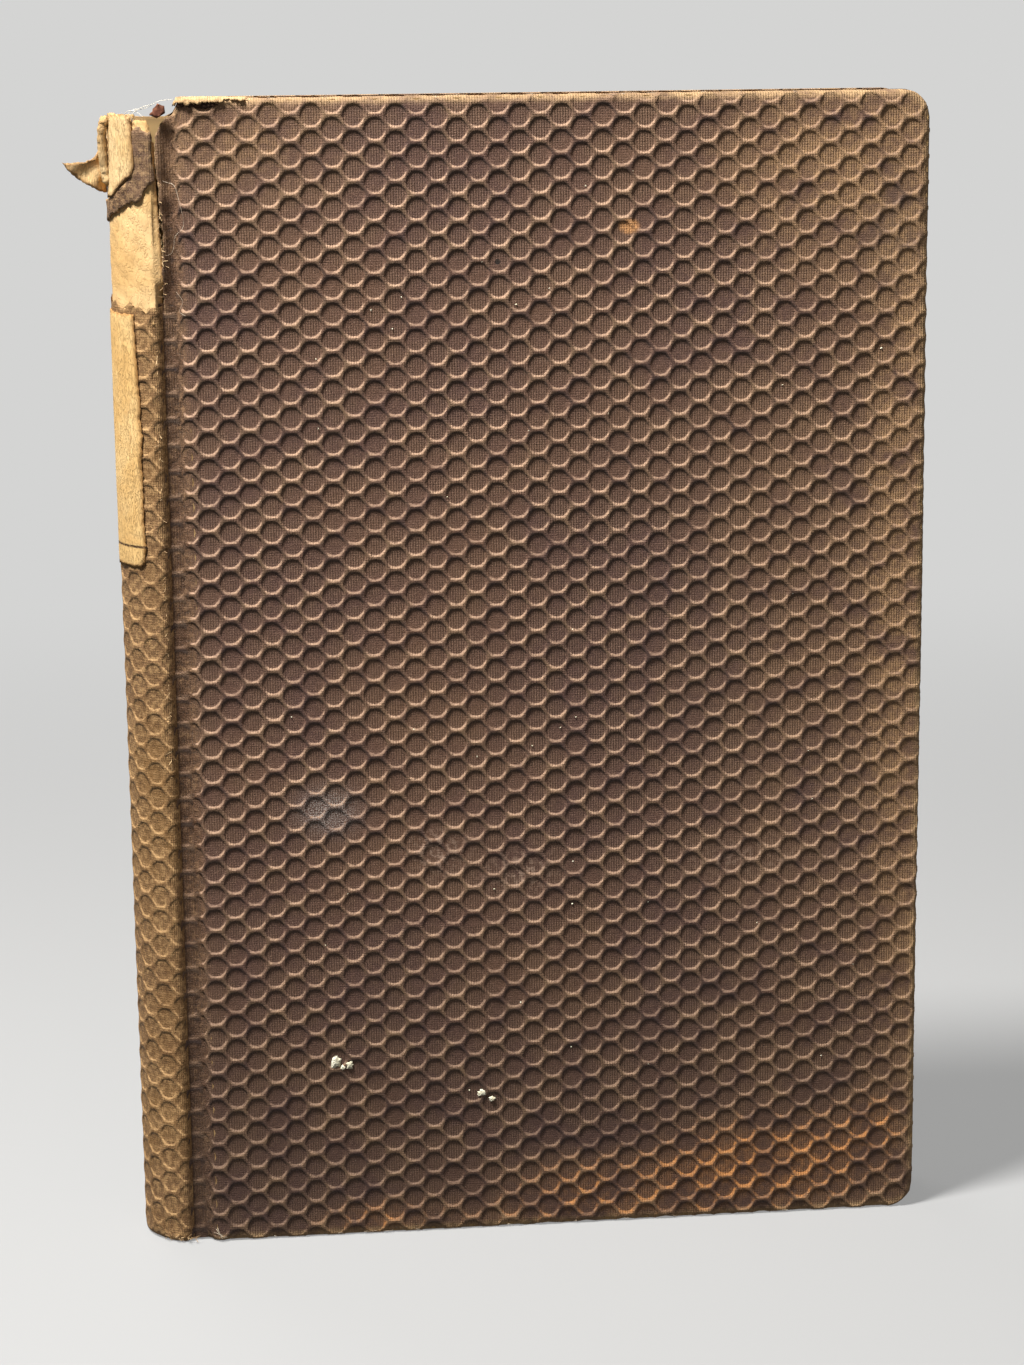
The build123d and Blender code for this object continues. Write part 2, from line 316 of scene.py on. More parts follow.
class Value:
    """A node socket that can be used in a Python expression."""

    def __init__(self, graph, socket):
        self.graph, self.socket = graph, socket

    def _math(self, operation, *others):
        return self.graph.node("ShaderNodeMath", {"operation": operation}, [self, *others])

    def __add__(self, o):
        return self._math("ADD", o)

    def __sub__(self, o):
        return self._math("SUBTRACT", o)

    def __mul__(self, o):
        return self._math("MULTIPLY", o)

    def __truediv__(self, o):
        return self._math("DIVIDE", o)

    def __pow__(self, o):
        return self._math("POWER", o)

    def __neg__(self):
        return self * -1.0

    def __rsub__(self, o):
        return -self + o

    def __rtruediv__(self, o):
        return (self ** -1.0) * o

    __radd__ = __add__
    __rmul__ = __mul__

    def sin(self):
        return self._math("SINE")

    def absolute(self):
        return self._math("ABSOLUTE")

    def floor(self):
        return self._math("FLOOR")

    def low(self, o):
        return self._math("MINIMUM", o)

    def exp(self):
        return self._math("EXPONENT")

    def ramp(self, start, end):
        """0 below start and 1 above end, smooth between. start may be the larger."""
        return self.graph.node(
            "ShaderNodeMapRange", {"interpolation_type": "SMOOTHSTEP"},
            {"Value": self, "From Min": start, "From Max": end},
        )


class Graph:
    """A node tree written as expressions."""

    def __init__(self, tree):
        self.tree = tree

    def node(self, kind, settings=None, inputs=None, output=0):
        """Adds a node of any type. inputs is a list in socket order, or a dict by name or number."""
        node = self.tree.nodes.new(kind)
        for key, value in (settings or {}).items():
            setattr(node, key, value)
        pairs = inputs.items() if isinstance(inputs, dict) else enumerate(inputs or [])
        for key, value in pairs:
            socket = node.inputs[key]
            if isinstance(value, Value):
                self.tree.links.new(value.socket, socket)
            elif value is not None:
                socket.default_value = value
        return Value(self, node.outputs[output])

    def attribute(self, name, vector=False):
        output = "Vector" if vector else "Fac"
        return self.node("ShaderNodeAttribute", {"attribute_name": name}, output=output)

    def split(self, vector):
        node = self.tree.nodes.new("ShaderNodeSeparateXYZ")
        self.tree.links.new(vector.socket, node.inputs[0])
        return [Value(self, s) for s in node.outputs]

    def vector(self, x, y, z):
        return self.node("ShaderNodeCombineXYZ", {}, [x, y, z])

    def noise(self, where, scale, detail=3.0, rough=0.55, warp=0.0):
        return self.node(
            "ShaderNodeTexNoise", {},
            {"Vector": where, "Scale": scale, "Detail": detail, "Roughness": rough, "Distortion": warp},
        )

    def mix(self, share, a, b, mode="MIX"):
        """Blends two colours."""
        return self.node(
            "ShaderNodeMix", {"data_type": "RGBA", "blend_type": mode, "clamp_factor": True},
            {0: share, 6: a, 7: b}, output=2,
        )

    def spot(self, u, z, where, size):
        """A soft round patch, 1 at its middle."""
        du, dz = (u - where[0]) / size[0], (z - where[1]) / size[1]
        return (-(du * du + dz * dz)).exp()

    def spots(self, u, z, patches):
        """Soft patches added up. patches: ((u, z), (width, height), strength)."""
        return sum((self.spot(u, z, where, size) * strength for where, size, strength in patches), 0.0)


def colour(r, g, b):
    """A colour written as it looks on screen, 0 to 255."""
    def linear(c):
        c /= 255
        return c / 12.92 if c <= 0.04045 else ((c + 0.055) / 1.055) ** 2.4
    return (linear(r), linear(g), linear(b), 1.0)


def new_material(name):
    """An empty material with a Principled shader, and its graph."""
    material = bpy.data.materials.new(name)
    material.use_nodes = True
    graph = Graph(material.node_tree)
    shader = next(n for n in material.node_tree.nodes if n.type == "BSDF_PRINCIPLED")
    return material, graph, shader


def finish_material(graph, shader, base, rough, height=None, distance=0.0001, specular=0.3, strength=1.0):
    """Links colour, roughness and surface height to the shader."""
    graph.tree.links.new(base.socket, shader.inputs["Base Color"])
    if isinstance(rough, Value):
        graph.tree.links.new(rough.socket, shader.inputs["Roughness"])
    else:
        shader.inputs["Roughness"].default_value = rough
    shader.inputs["Specular IOR Level"].default_value = specular
    if height is not None:
        bump = graph.node(
            "ShaderNodeBump", {}, {"Height": height, "Distance": distance, "Strength": strength})
        graph.tree.links.new(bump.socket, shader.inputs["Normal"])


def old_stains(g, base, u, z, patchy, fine, grit, painted_lighting):
    """The front cover's own stains and scuffs, at their places on the flat cloth."""
    dark = g.spots(u, z, (((118, 165), (5, 9), 1), ((96, 92), (34, 60), 0.35)))
    base = g.mix(dark.low(1.0) * 0.4, base, colour(66, 58, 54))
    warm = g.spots(u, z, (
        ((108, 178), (18, 14), 1), ((121, 110), (7, 74), 1.4), ((12, 182), (14, 9), 0.7),
        ((104, 110), (15, 80), 0.3),
    ))
    mottle = patchy.ramp(0.25, 0.6) * (0.4 + fine.ramp(0.4, 0.6) * 0.5)
    base = g.mix(warm.low(1.0) * mottle, base, colour(160, 124, 86))
    rust = g.spots(u, z, (
        ((90, 8), (13, 6), 1), ((103, 10), (11, 6), 0.95), ((115.5, 14), (4, 5), 0.9),
        ((66, 6), (10, 5), 0.5), ((31, 2), (7, 3), 0.55), ((75, 2), (30, 3), 0.4),
    ))
    blotch = rust * (0.2 + patchy.ramp(0.40, 0.58) * 1.1) * (0.4 + fine.ramp(0.38, 0.58) * 0.9)
    # The rust shows most along the painted highlight on the lower edge of each cell.
    base = g.mix((blotch * (0.16 + painted_lighting.ramp(0.0, 0.6) * 0.85)).low(0.9), base, colour(196, 130, 70))
    ash = g.spot(u, z, (24.2, 73.6), (4.2, 3.4)) * grit.ramp(0.47, 0.58) * 1.3
    base = g.mix(ash.low(0.9), base, colour(164, 152, 142))
    scuff = g.spots(u, z, (((42, 66), (4, 3.5), 1), ((56, 62), (5, 3), 1), ((93, 63), (9, 3), 0.5)))
    base = g.mix(scuff * fine.ramp(0.47, 0.60) * 0.85, base, colour(160, 132, 112))
    scrape = g.spot(u, z, (74.2, 167.2), (1.8, 1.3)).ramp(0.25, 0.7) * fine.ramp(0.3, 0.5)
    base = g.mix(scrape, base, colour(196, 140, 88))
    hole = g.spot(u, z, (53.2, 162), (0.5, 0.5)).ramp(0.3, 0.6)
    return g.mix(hole, base, colour(20, 12, 10))


def cloth_material(name, stained, floor=(92, 67, 57), lit=(188, 152, 124), worn=(182, 148, 104),
                   rubbed=0.0):
    """Embossed book cloth: ribbed floors, rubbed crests, a painted highlight along the lower edge of each
    cell and painted shade along its top and on its crest, worn edges and old stains.
    """
    material, g, shader = new_material(name)
    flat = g.attribute("flat", True)
    u, z, _ = g.split(flat)
    relief, painted_lighting, edge = g.attribute("relief"), g.attribute("painted_lighting"), g.attribute("edge")
    broad = g.noise(flat, 0.035, 3.0)
    patchy = g.noise(flat, 0.16, 4.0, 0.6)
    fine = g.noise(flat, 1.1, 4.0, 0.65)
    grit = g.noise(flat, 5.0, 2.0, 0.7)
    yarn = g.noise(g.vector(u * 4.4, z * 0.7, 0.0), 1.0, 2.0, 0.5)
    crest = relief.ramp(0.72, 1.0)

    def near_floor(r, gr, b):
        return colour(*(max(0, min(255, c + d)) for c, d in zip(floor, (r, gr, b))))

    base = g.mix(broad.ramp(0.35, 0.68), near_floor(-4, -6, -5), near_floor(12, 7, -3))
    joint = u.ramp(5.2, 2.2) * u.ramp(-9.0, -8.0)
    base = g.mix(joint, base, colour(88, 59, 33))
    base = g.mix(fine.ramp(0.42, 0.72) * 0.45, base, near_floor(38, 30, 22))
    base = g.mix(yarn.ramp(0.5, 0.75) * 0.3, base, near_floor(46, 38, 28))
    ribs = (u * (2 * math.pi / RIB_PITCH) + fine * 2.0).sin() * patchy.ramp(0.28, 0.6)
    between_ribs = ribs.ramp(-0.1, 0.9) * (1.0 - relief.ramp(0.3, 0.7))
    base = g.mix(between_ribs * 0.45, base, near_floor(-44, -36, -31))
    base = g.mix(grit.ramp(0.54, 0.66) * 0.6, base, near_floor(62, 54, 42))
    base = g.mix(grit.ramp(0.46, 0.34) * 0.6, base, near_floor(-46, -38, -33))
    base = g.mix(joint * fine.ramp(0.50, 0.64) * patchy.ramp(0.35, 0.6) * 0.75, base, colour(142, 108, 74))
    base = g.mix(joint * fine.ramp(0.47, 0.32) * 0.7, base, colour(48, 34, 27))
    # Painted shade: the ridge crests are darkened to the tone of the shaded floors, except along the lower
    # edge of each cell where the painted highlight goes.
    base = g.mix(crest * painted_lighting.ramp(0.6, 0.1) * 0.7, base, near_floor(-32, -26, -22))
    base = g.mix(crest * patchy.ramp(0.4, 0.7) * fine.ramp(0.35, 0.6) * 0.2, base, near_floor(44, 36, 26))
    # Painted shade along the top of each cell, where the ridge above casts its shadow.
    base = g.mix((painted_lighting * -0.8).ramp(0.02, 0.7) * 0.8, base, near_floor(-62, -48, -41))
    # Painted highlight along the lower edge of each cell, which faces the lamp above, broken up in patches
    # like rubbed cloth.
    painted_highlight = painted_lighting.ramp(0.5, 0.88) * (0.4 + patchy.ramp(0.3, 0.62) * 0.6)
    base = g.mix(painted_highlight * (0.3 + fine.ramp(0.32, 0.55) * 0.75), base, colour(*lit))
    low = z.ramp(75.0, 5.0) * u.ramp(150.0, 140.0)
    base = g.mix(low * 0.50, base, colour(46, 30, 25))
    if stained:
        base = old_stains(g, base, u, z, patchy, fine, grit, painted_lighting)
    if rubbed:
        bare = fine.ramp(0.44, 0.62) * (0.3 + patchy.ramp(0.35, 0.6) * 0.7)
        base = g.mix(bare * rubbed, base, colour(*worn))
        base = g.mix(fine.ramp(0.44, 0.30) * rubbed * 0.8, base, near_floor(-46, -38, -26))
    flecks = grit.ramp(0.68, 0.74) * fine.ramp(0.5, 0.65)
    base = g.mix(flecks * 0.7, base, colour(212, 198, 174))
    rubbed_edge = edge.ramp(-0.9, 0.5) * (0.3 + patchy.ramp(0.35, 0.62) * 0.6)
    near_edge = edge.ramp(-9.0, 0.0) * patchy.ramp(0.36, 0.66) * (0.3 + crest * 0.7) * 0.6
    base = g.mix((rubbed_edge * (0.5 + fine.ramp(0.3, 0.6) * 0.6)).low(0.9), base, colour(*worn))
    base = g.mix(near_edge, base, colour(worn[0] - 12, worn[1] - 12, worn[2] - 4))
    weave = (z * (2 * math.pi / WEFT_PITCH)).sin() * 0.3
    threads = ribs * -0.7 * (1.0 - crest * 0.7) + weave * 0.5
    height = threads + fine * (1.6 + joint * 2.4) + grit * (2.0 + joint * 1.5)
    rough = 0.62 + fine * 0.22 - crest * 0.06
    finish_material(g, shader, base, rough, height, 0.00006, 0.35, 0.9)
    return material


def paper_material(name, main, dark, light, fibre=(1.2, 0.12), crease=0.0, edge_dark=0.0, foxing=0.0,
                   rules=()):
    """Old paper: long fibres, stains, and creases where it is bent."""
    material, g, shader = new_material(name)
    flat = g.attribute("flat", True)
    u, z, _ = g.split(flat)
    edge = g.attribute("edge")
    broad = g.noise(flat, 0.12, 4.0, 0.6)
    long = g.noise(g.vector(u * fibre[0], z * fibre[1], 0.0), 2.2, 4.0, 0.65)
    fine = g.noise(flat, 2.4, 4.0, 0.7)
    base = g.mix(broad.ramp(0.3, 0.7), colour(*main), colour(*light))
    base = g.mix(long.ramp(0.5, 0.72) * 0.45, base, colour(*dark))
    base = g.mix(fine.ramp(0.5, 0.75) * 0.3, base, colour(*dark))
    height = fine * 0.6 + long * 0.9
    if crease:
        line = (long - 0.5).absolute()
        fold = line.ramp(0.035, 0.0)
        base = g.mix(fold * crease, base, colour(dark[0] - 30, dark[1] - 30, dark[2] - 25))
        height = height - fold * 1.6 * crease
    if edge_dark:
        rim = edge.ramp(0.9, 0.0) * edge_dark * (0.4 + fine)
        base = g.mix(rim, base, colour(dark[0] - 25, dark[1] - 25, dark[2] - 20))
    if foxing:
        fox = g.noise(flat, 0.5, 2.0, 0.5).ramp(0.62, 0.78) * g.noise(flat, 0.05, 2.0).ramp(0.4, 0.7)
        base = g.mix(fox * foxing, base, colour(150, 98, 52))
    for at, width, strength in rules:
        rule = ((z - at).absolute()).ramp(width, width * 0.4) * (0.5 + fine.ramp(0.35, 0.6))
        base = g.mix((rule * strength).low(1.0), base, colour(72, 50, 34))
    finish_material(g, shader, base, 0.85, height, 0.00009, 0.2)
    return material


def fibre_material(name, main, light):
    """Loose thread, paler along some of its length."""
    material, g, shader = new_material(name)
    where = g.node("ShaderNodeTexCoord", {}, output="Object")
    along = g.noise(where, 900.0, 2.0)
    finish_material(g, shader, g.mix(along.ramp(0.35, 0.65), colour(*main), colour(*light)), 0.8)
    return material


def board_material(name, main, dark, light):
    """Pulpy pasteboard with fibres and a few dark specks."""
    material, g, shader = new_material(name)
    where = g.node("ShaderNodeTexCoord", {}, output="Object")
    pulp = g.noise(where, 900.0, 5.0, 0.7)
    specks = g.noise(where, 2600.0, 2.0)
    base = g.mix(pulp.ramp(0.35, 0.65), colour(*main), colour(*light))
    base = g.mix(specks.ramp(0.62, 0.72) * 0.6, base, colour(*dark))
    finish_material(g, shader, base, 0.9, pulp + specks * 0.4, 0.0002, 0.15)
    return material


def weave_material(name, main, dark, pitch):
    """Open-weave cotton or twisted cord in the frame's own coordinates."""
    material, g, shader = new_material(name)
    where = g.node("ShaderNodeTexCoord", {}, output="Object")
    x, y, z = g.split(where)
    across = ((x + y) * (2 * math.pi / (pitch * MM))).sin()
    up = (z * (2 * math.pi / (pitch * MM))).sin()
    cloth = (across * 0.5 + up * 0.5) * 0.5 + 0.5
    stain = g.noise(where, 120.0, 3.0)
    base = g.mix(cloth.ramp(0.2, 0.8) * (0.5 + stain * 0.5), colour(*dark), colour(*main))
    finish_material(g, shader, base, 0.88, cloth, 0.0001, 0.15)
    return material


def pages_material(name):
    """Yellowed page edges: each leaf a fine line, with dust and stain towards the outside."""
    material, g, shader = new_material(name)
    where = g.node("ShaderNodeTexCoord", {}, output="Object")
    x, _, z = g.split(where)
    leaf = g.attribute("leaf")
    lines = g.noise(g.vector(leaf * 62.0, x * 12.0, z * 12.0), 1.0, 2.0, 0.6)
    fine = g.noise(g.vector(leaf * 240.0, x * 30.0, z * 30.0), 1.0, 2.0, 0.6)
    cloud = g.noise(where, 38.0, 4.0, 0.6)
    base = g.mix(cloud.ramp(0.3, 0.7), colour(182, 154, 108), colour(168, 138, 92))
    base = g.mix(lines.ramp(0.5, 0.62) * 0.6, base, colour(112, 84, 54))
    base = g.mix(fine.ramp(0.54, 0.68) * 0.5, base, colour(202, 178, 134))
    base = g.mix(fine.ramp(0.44, 0.34) * 0.45, base, colour(116, 88, 58))
    top = z.ramp(BLOCK_Z[1] * MM - 0.0015, BLOCK_Z[1] * MM) * cloud.ramp(0.25, 0.6) * 0.45
    base = g.mix(top, base, colour(110, 88, 64))
    finish_material(g, shader, base, 0.86, lines + fine * 0.5, 0.00015, 0.15)
    return material


MATERIALS = {}


def material(key):
    """Builds each material once, when it is first asked for."""
    makers = {
        "cover_cloth": lambda: cloth_material("cover_cloth", True),
        "back_cloth": lambda: cloth_material("back_cloth", False),
        "spine_cloth": lambda: cloth_material(
            "spine_cloth", False, (112, 82, 50), (206, 164, 112), (204, 162, 108), 0.5),
        "scrap_cloth": lambda: cloth_material(
            "scrap_cloth", False, (98, 74, 56), (160, 130, 98), (176, 142, 98), 0.6),
        "lining": lambda: paper_material(
            "lining", (214, 172, 112), (184, 138, 84), (232, 194, 138), (0.28, 0.16), 0.25, 0.6),
        "slip": lambda: paper_material(
            "slip", (216, 178, 120), (176, 132, 82), (232, 200, 148), (1.1, 0.2), 0.35, 0.8),
        "label": lambda: paper_material(
            "label", (222, 178, 112), (170, 120, 64), (238, 200, 138), (0.8, 0.22), 0.35, 0.8, 0.6,
            rules=((SPINE_TOP - 39.3, 0.28, 0.8),)),
        "endpaper": lambda: paper_material(
            "endpaper", (222, 200, 158), (196, 166, 118), (232, 214, 178), (0.6, 0.5), 0.0, 0.5, 0.8),
        "pages": lambda: pages_material("pages"),
        "board": lambda: board_material("board", (150, 118, 78), (84, 60, 40), (178, 146, 100)),
        "card": lambda: board_material("card", (196, 152, 96), (120, 84, 50), (214, 174, 118)),
        "super": lambda: weave_material("super", (196, 176, 136), (142, 112, 72), 0.9),
        "cord": lambda: weave_material("cord", (176, 150, 108), (110, 84, 54), 0.7),
        "worn_edge": lambda: cloth_material(
            "worn_edge", False, (130, 96, 62), (196, 160, 112), (208, 172, 120), 0.8),
        # A dark finish used as painted shade in the gap under the worn head rim.
        "slit_shade": lambda: board_material("slit_shade", (50, 34, 26), (28, 19, 15), (72, 52, 38)),
        "pale_thread": lambda: fibre_material("pale_thread", (216, 204, 180), (240, 232, 216)),
        "grey_fibre": lambda: fibre_material("grey_fibre", (150, 132, 112), (206, 190, 166)),
        "brown_fibre": lambda: fibre_material("brown_fibre", (150, 118, 84), (204, 172, 126)),
        "chip": lambda: board_material("chip", (214, 204, 172), (132, 118, 88), (236, 230, 206)),
        "scab": lambda: board_material("scab", (98, 58, 44), (54, 30, 22), (134, 88, 66)),
    }
    if key not in MATERIALS:
        MATERIALS[key] = makers[key]()
    return MATERIALS[key]


# ---------------------------------------------------------------- embossed cloth

def cell_mesh(column, row):
    """One embossed cell: a shared six-sided border on the ridge and a round sunken floor.

    Its attribute of painted light is above 0 for a painted highlight on the lower and lower right side of the
    cell, which faces the lamp above and to the left, and below 0 for painted shade along its top, under the
    ridge.
    """
    corner_x = (column ** 2 + row ** 2 / 4) / (2 * column)
    top_x = column - corner_x
    corners = [
        (corner_x, 0), (top_x, row / 2), (-top_x, row / 2),
        (-corner_x, 0), (-top_x, -row / 2), (top_x, -row / 2),
    ]
    border = []
    for (x0, y0), (x1, y1) in zip(corners, corners[1:] + corners[:1]):
        border += [(x0, y0), ((x0 + x1) / 2, (y0 + y1) / 2)]
    sides = len(border)
    border = np.array(border)
    unit = border / np.linalg.norm(border, axis=1)[:, None]
    # Painted light: the first mask is strongest on the lower and lower right side of the cell, which faces
    # the lamp above and to the left; the second on its upper side, which lies in shade.
    lit = np.clip(0.25 - unit[:, 1] + 0.35 * unit[:, 0], 0, 1)
    shaded_side = np.clip(unit[:, 1] * 1.3 + 0.15, 0, 1)
    places, painted_lighting_rings = [np.c_[border, np.full(sides, 0.88)]], [np.zeros(sides)]
    # Each ring: scale, radius, roundness, height, then the strengths of the painted highlight and of the
    # painted shade on it.
    rings = (
        (0.91, 1.82, 0.6, 1.0, 0.9, 0.6),
        (0.83, 1.66, 0.85, 0.1, 0.9, 1.0),
        (0.70, 1.40, 0.9, 0.0, 0.0, 0.35),
    )
    for scale, radius, roundness, height, rubbed, shade_strength in rings:
        ring = border * scale * (1 - roundness) + unit * radius * roundness
        places.append(np.c_[ring, np.full(sides, height)])
        painted_lighting_rings.append(lit * rubbed - shaded_side * shade_strength)
    places.append(np.array([[0, 0, 0.06]]))
    painted_lighting_rings.append(np.zeros(1))
    faces = []
    for r in range(len(rings)):
        for k in range(sides):
            n = (k + 1) % sides
            faces.append((r * sides + k, r * sides + n, (r + 1) * sides + n, (r + 1) * sides + k))
    inner = len(rings) * sides
    faces += [(inner + k, inner + (k + 1) % sides, inner + sides) for k in range(sides)]
    mesh = bpy.data.meshes.new("cell")
    mesh.from_pydata([tuple(p) for p in np.vstack(places)], [], faces)
    layer = mesh.attributes.new("painted_lighting", "FLOAT", "POINT")
    layer.data.foreach_set("value", np.concatenate(painted_lighting_rings).astype(np.float32))
    return bpy.data.objects.new("cell", mesh)


def grain_tree(cell, cloth):
    """Node tree that lays embossed cells in staggered columns, joins them and wears them down."""
    tree = bpy.data.node_groups.new("embossed_grain", "GeometryNodeTree")
    sockets = (
        ("Columns", "NodeSocketInt", 10), ("Rows", "NodeSocketInt", 10),
        ("Column Spacing", "NodeSocketFloat", 3.29), ("Row Spacing", "NodeSocketFloat", 4.12),
        ("Waviness", "NodeSocketFloat", 0.3), ("Wear", "NodeSocketFloat", 0.3),
        ("Seed", "NodeSocketFloat", 1.0),
    )
    for name, kind, value in sockets:
        tree.interface.new_socket(name, in_out="INPUT", socket_type=kind).default_value = value
    tree.interface.new_socket("Geometry", in_out="OUTPUT", socket_type="NodeSocketGeometry")
    g = Graph(tree)
    group = tree.nodes.new("NodeGroupInput")
    given = {s.name: Value(g, s) for s in group.outputs if s.name}
    across, up = given["Column Spacing"], given["Row Spacing"]
    wide, tall = (given["Columns"] - 1.0) * across, (given["Rows"] - 1.0) * up
    grid = g.node("GeometryNodeMeshGrid", {}, {
        "Size X": wide, "Size Y": tall, "Vertices X": given["Columns"], "Vertices Y": given["Rows"]})
    x, _, _ = g.split(g.node("GeometryNodeInputPosition"))
    column = ((x + wide * 0.5) / across + 0.5).floor()
    odd = g.node("ShaderNodeMath", {"operation": "MODULO"}, [column, 2.0])
    half_cell = g.vector(0.0, odd * up * 0.5, 0.0)
    staggered = g.node("GeometryNodeSetPosition", {}, {"Geometry": grid, "Offset": half_cell})
    cell_info = g.node("GeometryNodeObjectInfo", {}, {"Object": cell}, output="Geometry")
    cells = g.node("GeometryNodeInstanceOnPoints", {}, {"Points": staggered, "Instance": cell_info})
    real = g.node("GeometryNodeRealizeInstances", {}, [cells])
    sheet = g.node("GeometryNodeMergeByDistance", {}, {"Geometry": real, "Distance": 0.05})
    where = g.node("GeometryNodeInputPosition")
    seed_shift = g.vector(given["Seed"] * 37.0, 0.0, 0.0)
    moved = g.node("ShaderNodeVectorMath", {"operation": "ADD"}, [where, seed_shift])
    drift = g.node("ShaderNodeTexNoise", {}, {"Vector": moved, "Scale": 0.028, "Detail": 1.0}, output="Color")
    dx, dy, _ = g.split(drift)
    wander = g.node("ShaderNodeTexNoise", {}, {"Vector": moved, "Scale": 0.55, "Detail": 1.0}, output="Color")
    wx, wy, wz = g.split(wander)
    _, _, h = g.split(g.node("GeometryNodeInputPosition"))
    shift = g.vector(
        (dx - 0.5) * given["Waviness"] * 6.0 + (wx - 0.5) * given["Waviness"] * 0.9,
        (dy - 0.5) * given["Waviness"] * 6.0 + (wy - 0.5) * given["Waviness"] * 0.9,
        h * (wz - 0.5) * given["Wear"] * 1.6,
    )
    worn = g.node("GeometryNodeSetPosition", {}, {"Geometry": sheet, "Offset": shift})
    stored = g.node(
        "GeometryNodeStoreNamedAttribute", {"data_type": "FLOAT", "domain": "POINT"},
        {"Geometry": worn, "Name": "relief", "Value": h},
    )
    done = g.node("GeometryNodeSetMaterial", {}, {"Geometry": stored, "Material": cloth})
    out = tree.nodes.new("NodeGroupOutput")
    tree.links.new(done.socket, out.inputs[0])
    return tree


def grain_sheet(columns, rows, settings, cloth, seed):
    """A flat embossed sheet, centred on 0. Returns its points, faces, relief, and the painted highlight and
    shade of its cells.
    """
    cell = cell_mesh(settings.column_spacing, settings.row_spacing)
    bpy.context.scene.collection.objects.link(cell)
    carrier = bpy.data.objects.new("grain", bpy.data.meshes.new("grain"))
    bpy.context.scene.collection.objects.link(carrier)
    tree = grain_tree(cell, cloth)
    modifier = carrier.modifiers.new("Grain", "NODES")
    modifier.node_group = tree
    values = {
        "Columns": columns, "Rows": rows, "Column Spacing": settings.column_spacing,
        "Row Spacing": settings.row_spacing, "Waviness": settings.waviness, "Wear": settings.wear,
        "Seed": float(seed),
    }
    for item in tree.interface.items_tree:
        if item.in_out == "INPUT":
            modifier[item.identifier] = values[item.name]
    bpy.context.view_layer.update()
    evaluated = carrier.evaluated_get(bpy.context.evaluated_depsgraph_get())
    mesh = bpy.data.meshes.new_from_object(evaluated)
    points = np.zeros(len(mesh.vertices) * 3)
    mesh.vertices.foreach_get("co", points)
    relief = np.zeros(len(mesh.vertices))
    mesh.attributes["relief"].data.foreach_get("value", relief)
    painted_lighting = np.zeros(len(mesh.vertices))
    mesh.attributes["painted_lighting"].data.foreach_get("value", painted_lighting)
    faces = [tuple(p.vertices) for p in mesh.polygons]
    carrier.modifiers.remove(modifier)
    for o in (carrier, cell):
        data = o.data
        bpy.data.objects.remove(o)
        bpy.data.meshes.remove(data)
    bpy.data.meshes.remove(mesh)
    bpy.data.node_groups.remove(tree)
    return points.reshape(-1, 3), faces, relief, painted_lighting


def keep_faces(faces, wanted):
    """Faces with any corner among the wanted points, renumbered, and the points they use."""
    faces = [f for f in faces if any(wanted[i] for i in f)]
    used = sorted({i for f in faces for i in f})
    place = {old: new for new, old in enumerate(used)}
    return [tuple(place[i] for i in f) for f in faces], np.array(used)


def soft_step(value, start, end):
    """0 at start and 1 at end, smooth between. start may be the larger."""
    share = np.clip((value - start) / (end - start), 0, 1)
    return share * share * (3 - 2 * share)


def side_cloth(side):
    """The cloth of the front cover, side -1, or of the back cover, side 1."""
    return material("cover_cloth" if side < 0 else "back_cloth")


def cover_cloth(settings, side, body, name, seed):
    """Embossed cloth over one cover and round its head, tail and fore-edge."""
    start = 1.4
    past = FLAP + EDGE_ROUND
    columns = int((U_FORE + FLAP - start) / settings.column_spacing) + 3
    rows = int((HEIGHT + 2 * FLAP) / settings.row_spacing) + 3
    flat, faces, relief, painted_lighting = grain_sheet(columns, rows, settings, side_cloth(side), seed)
    tilt = math.radians(settings.tilt)
    u = flat[:, 0] * math.cos(tilt) + flat[:, 1] * math.sin(tilt) + (start + U_FORE + FLAP) / 2
    z = flat[:, 1] * math.cos(tilt) - flat[:, 0] * math.sin(tilt) + HEIGHT / 2
    _, over = on_cover(u, z, np.zeros(len(u)), side)
    wanted = (over < past - 0.02) & (u > start)
    faces, used = keep_faces(faces, wanted)
    u, z, relief, height, painted_lighting = u[used], z[used], relief[used], flat[used, 2], painted_lighting[used]
    u = np.maximum(u, start)
    _, over = on_cover(u, z, np.zeros(len(u)), side)
    fade = soft_step(u, 1.3, 3.0) * (1 - 0.55 * soft_step(over, -0.9, 0.8))
    height = height * fade + (1 - fade) * 0.7
    places, over = on_cover(u, z, (height - 1) * settings.depth - 0.14 * soft_step(u, 2.0, 1.4), side)
    drop = 2.8 * soft_step(u, 4.6, 1.6)
    places[:, 2] -= drop * soft_step(places[:, 2], HEIGHT - 9, HEIGHT)
    if side > 0:
        faces = [f[::-1] for f in faces]
    # The sheet carries the painted highlight and shade of its cells.
    piece = new_piece(name, places, faces, side_cloth(side), body, attributes={
        "flat": flat_vectors(u, z), "relief": relief * fade, "painted_lighting": painted_lighting * fade, "edge": over})
    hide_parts("front_cloth" if side < 0 else "back_cloth")
    return piece


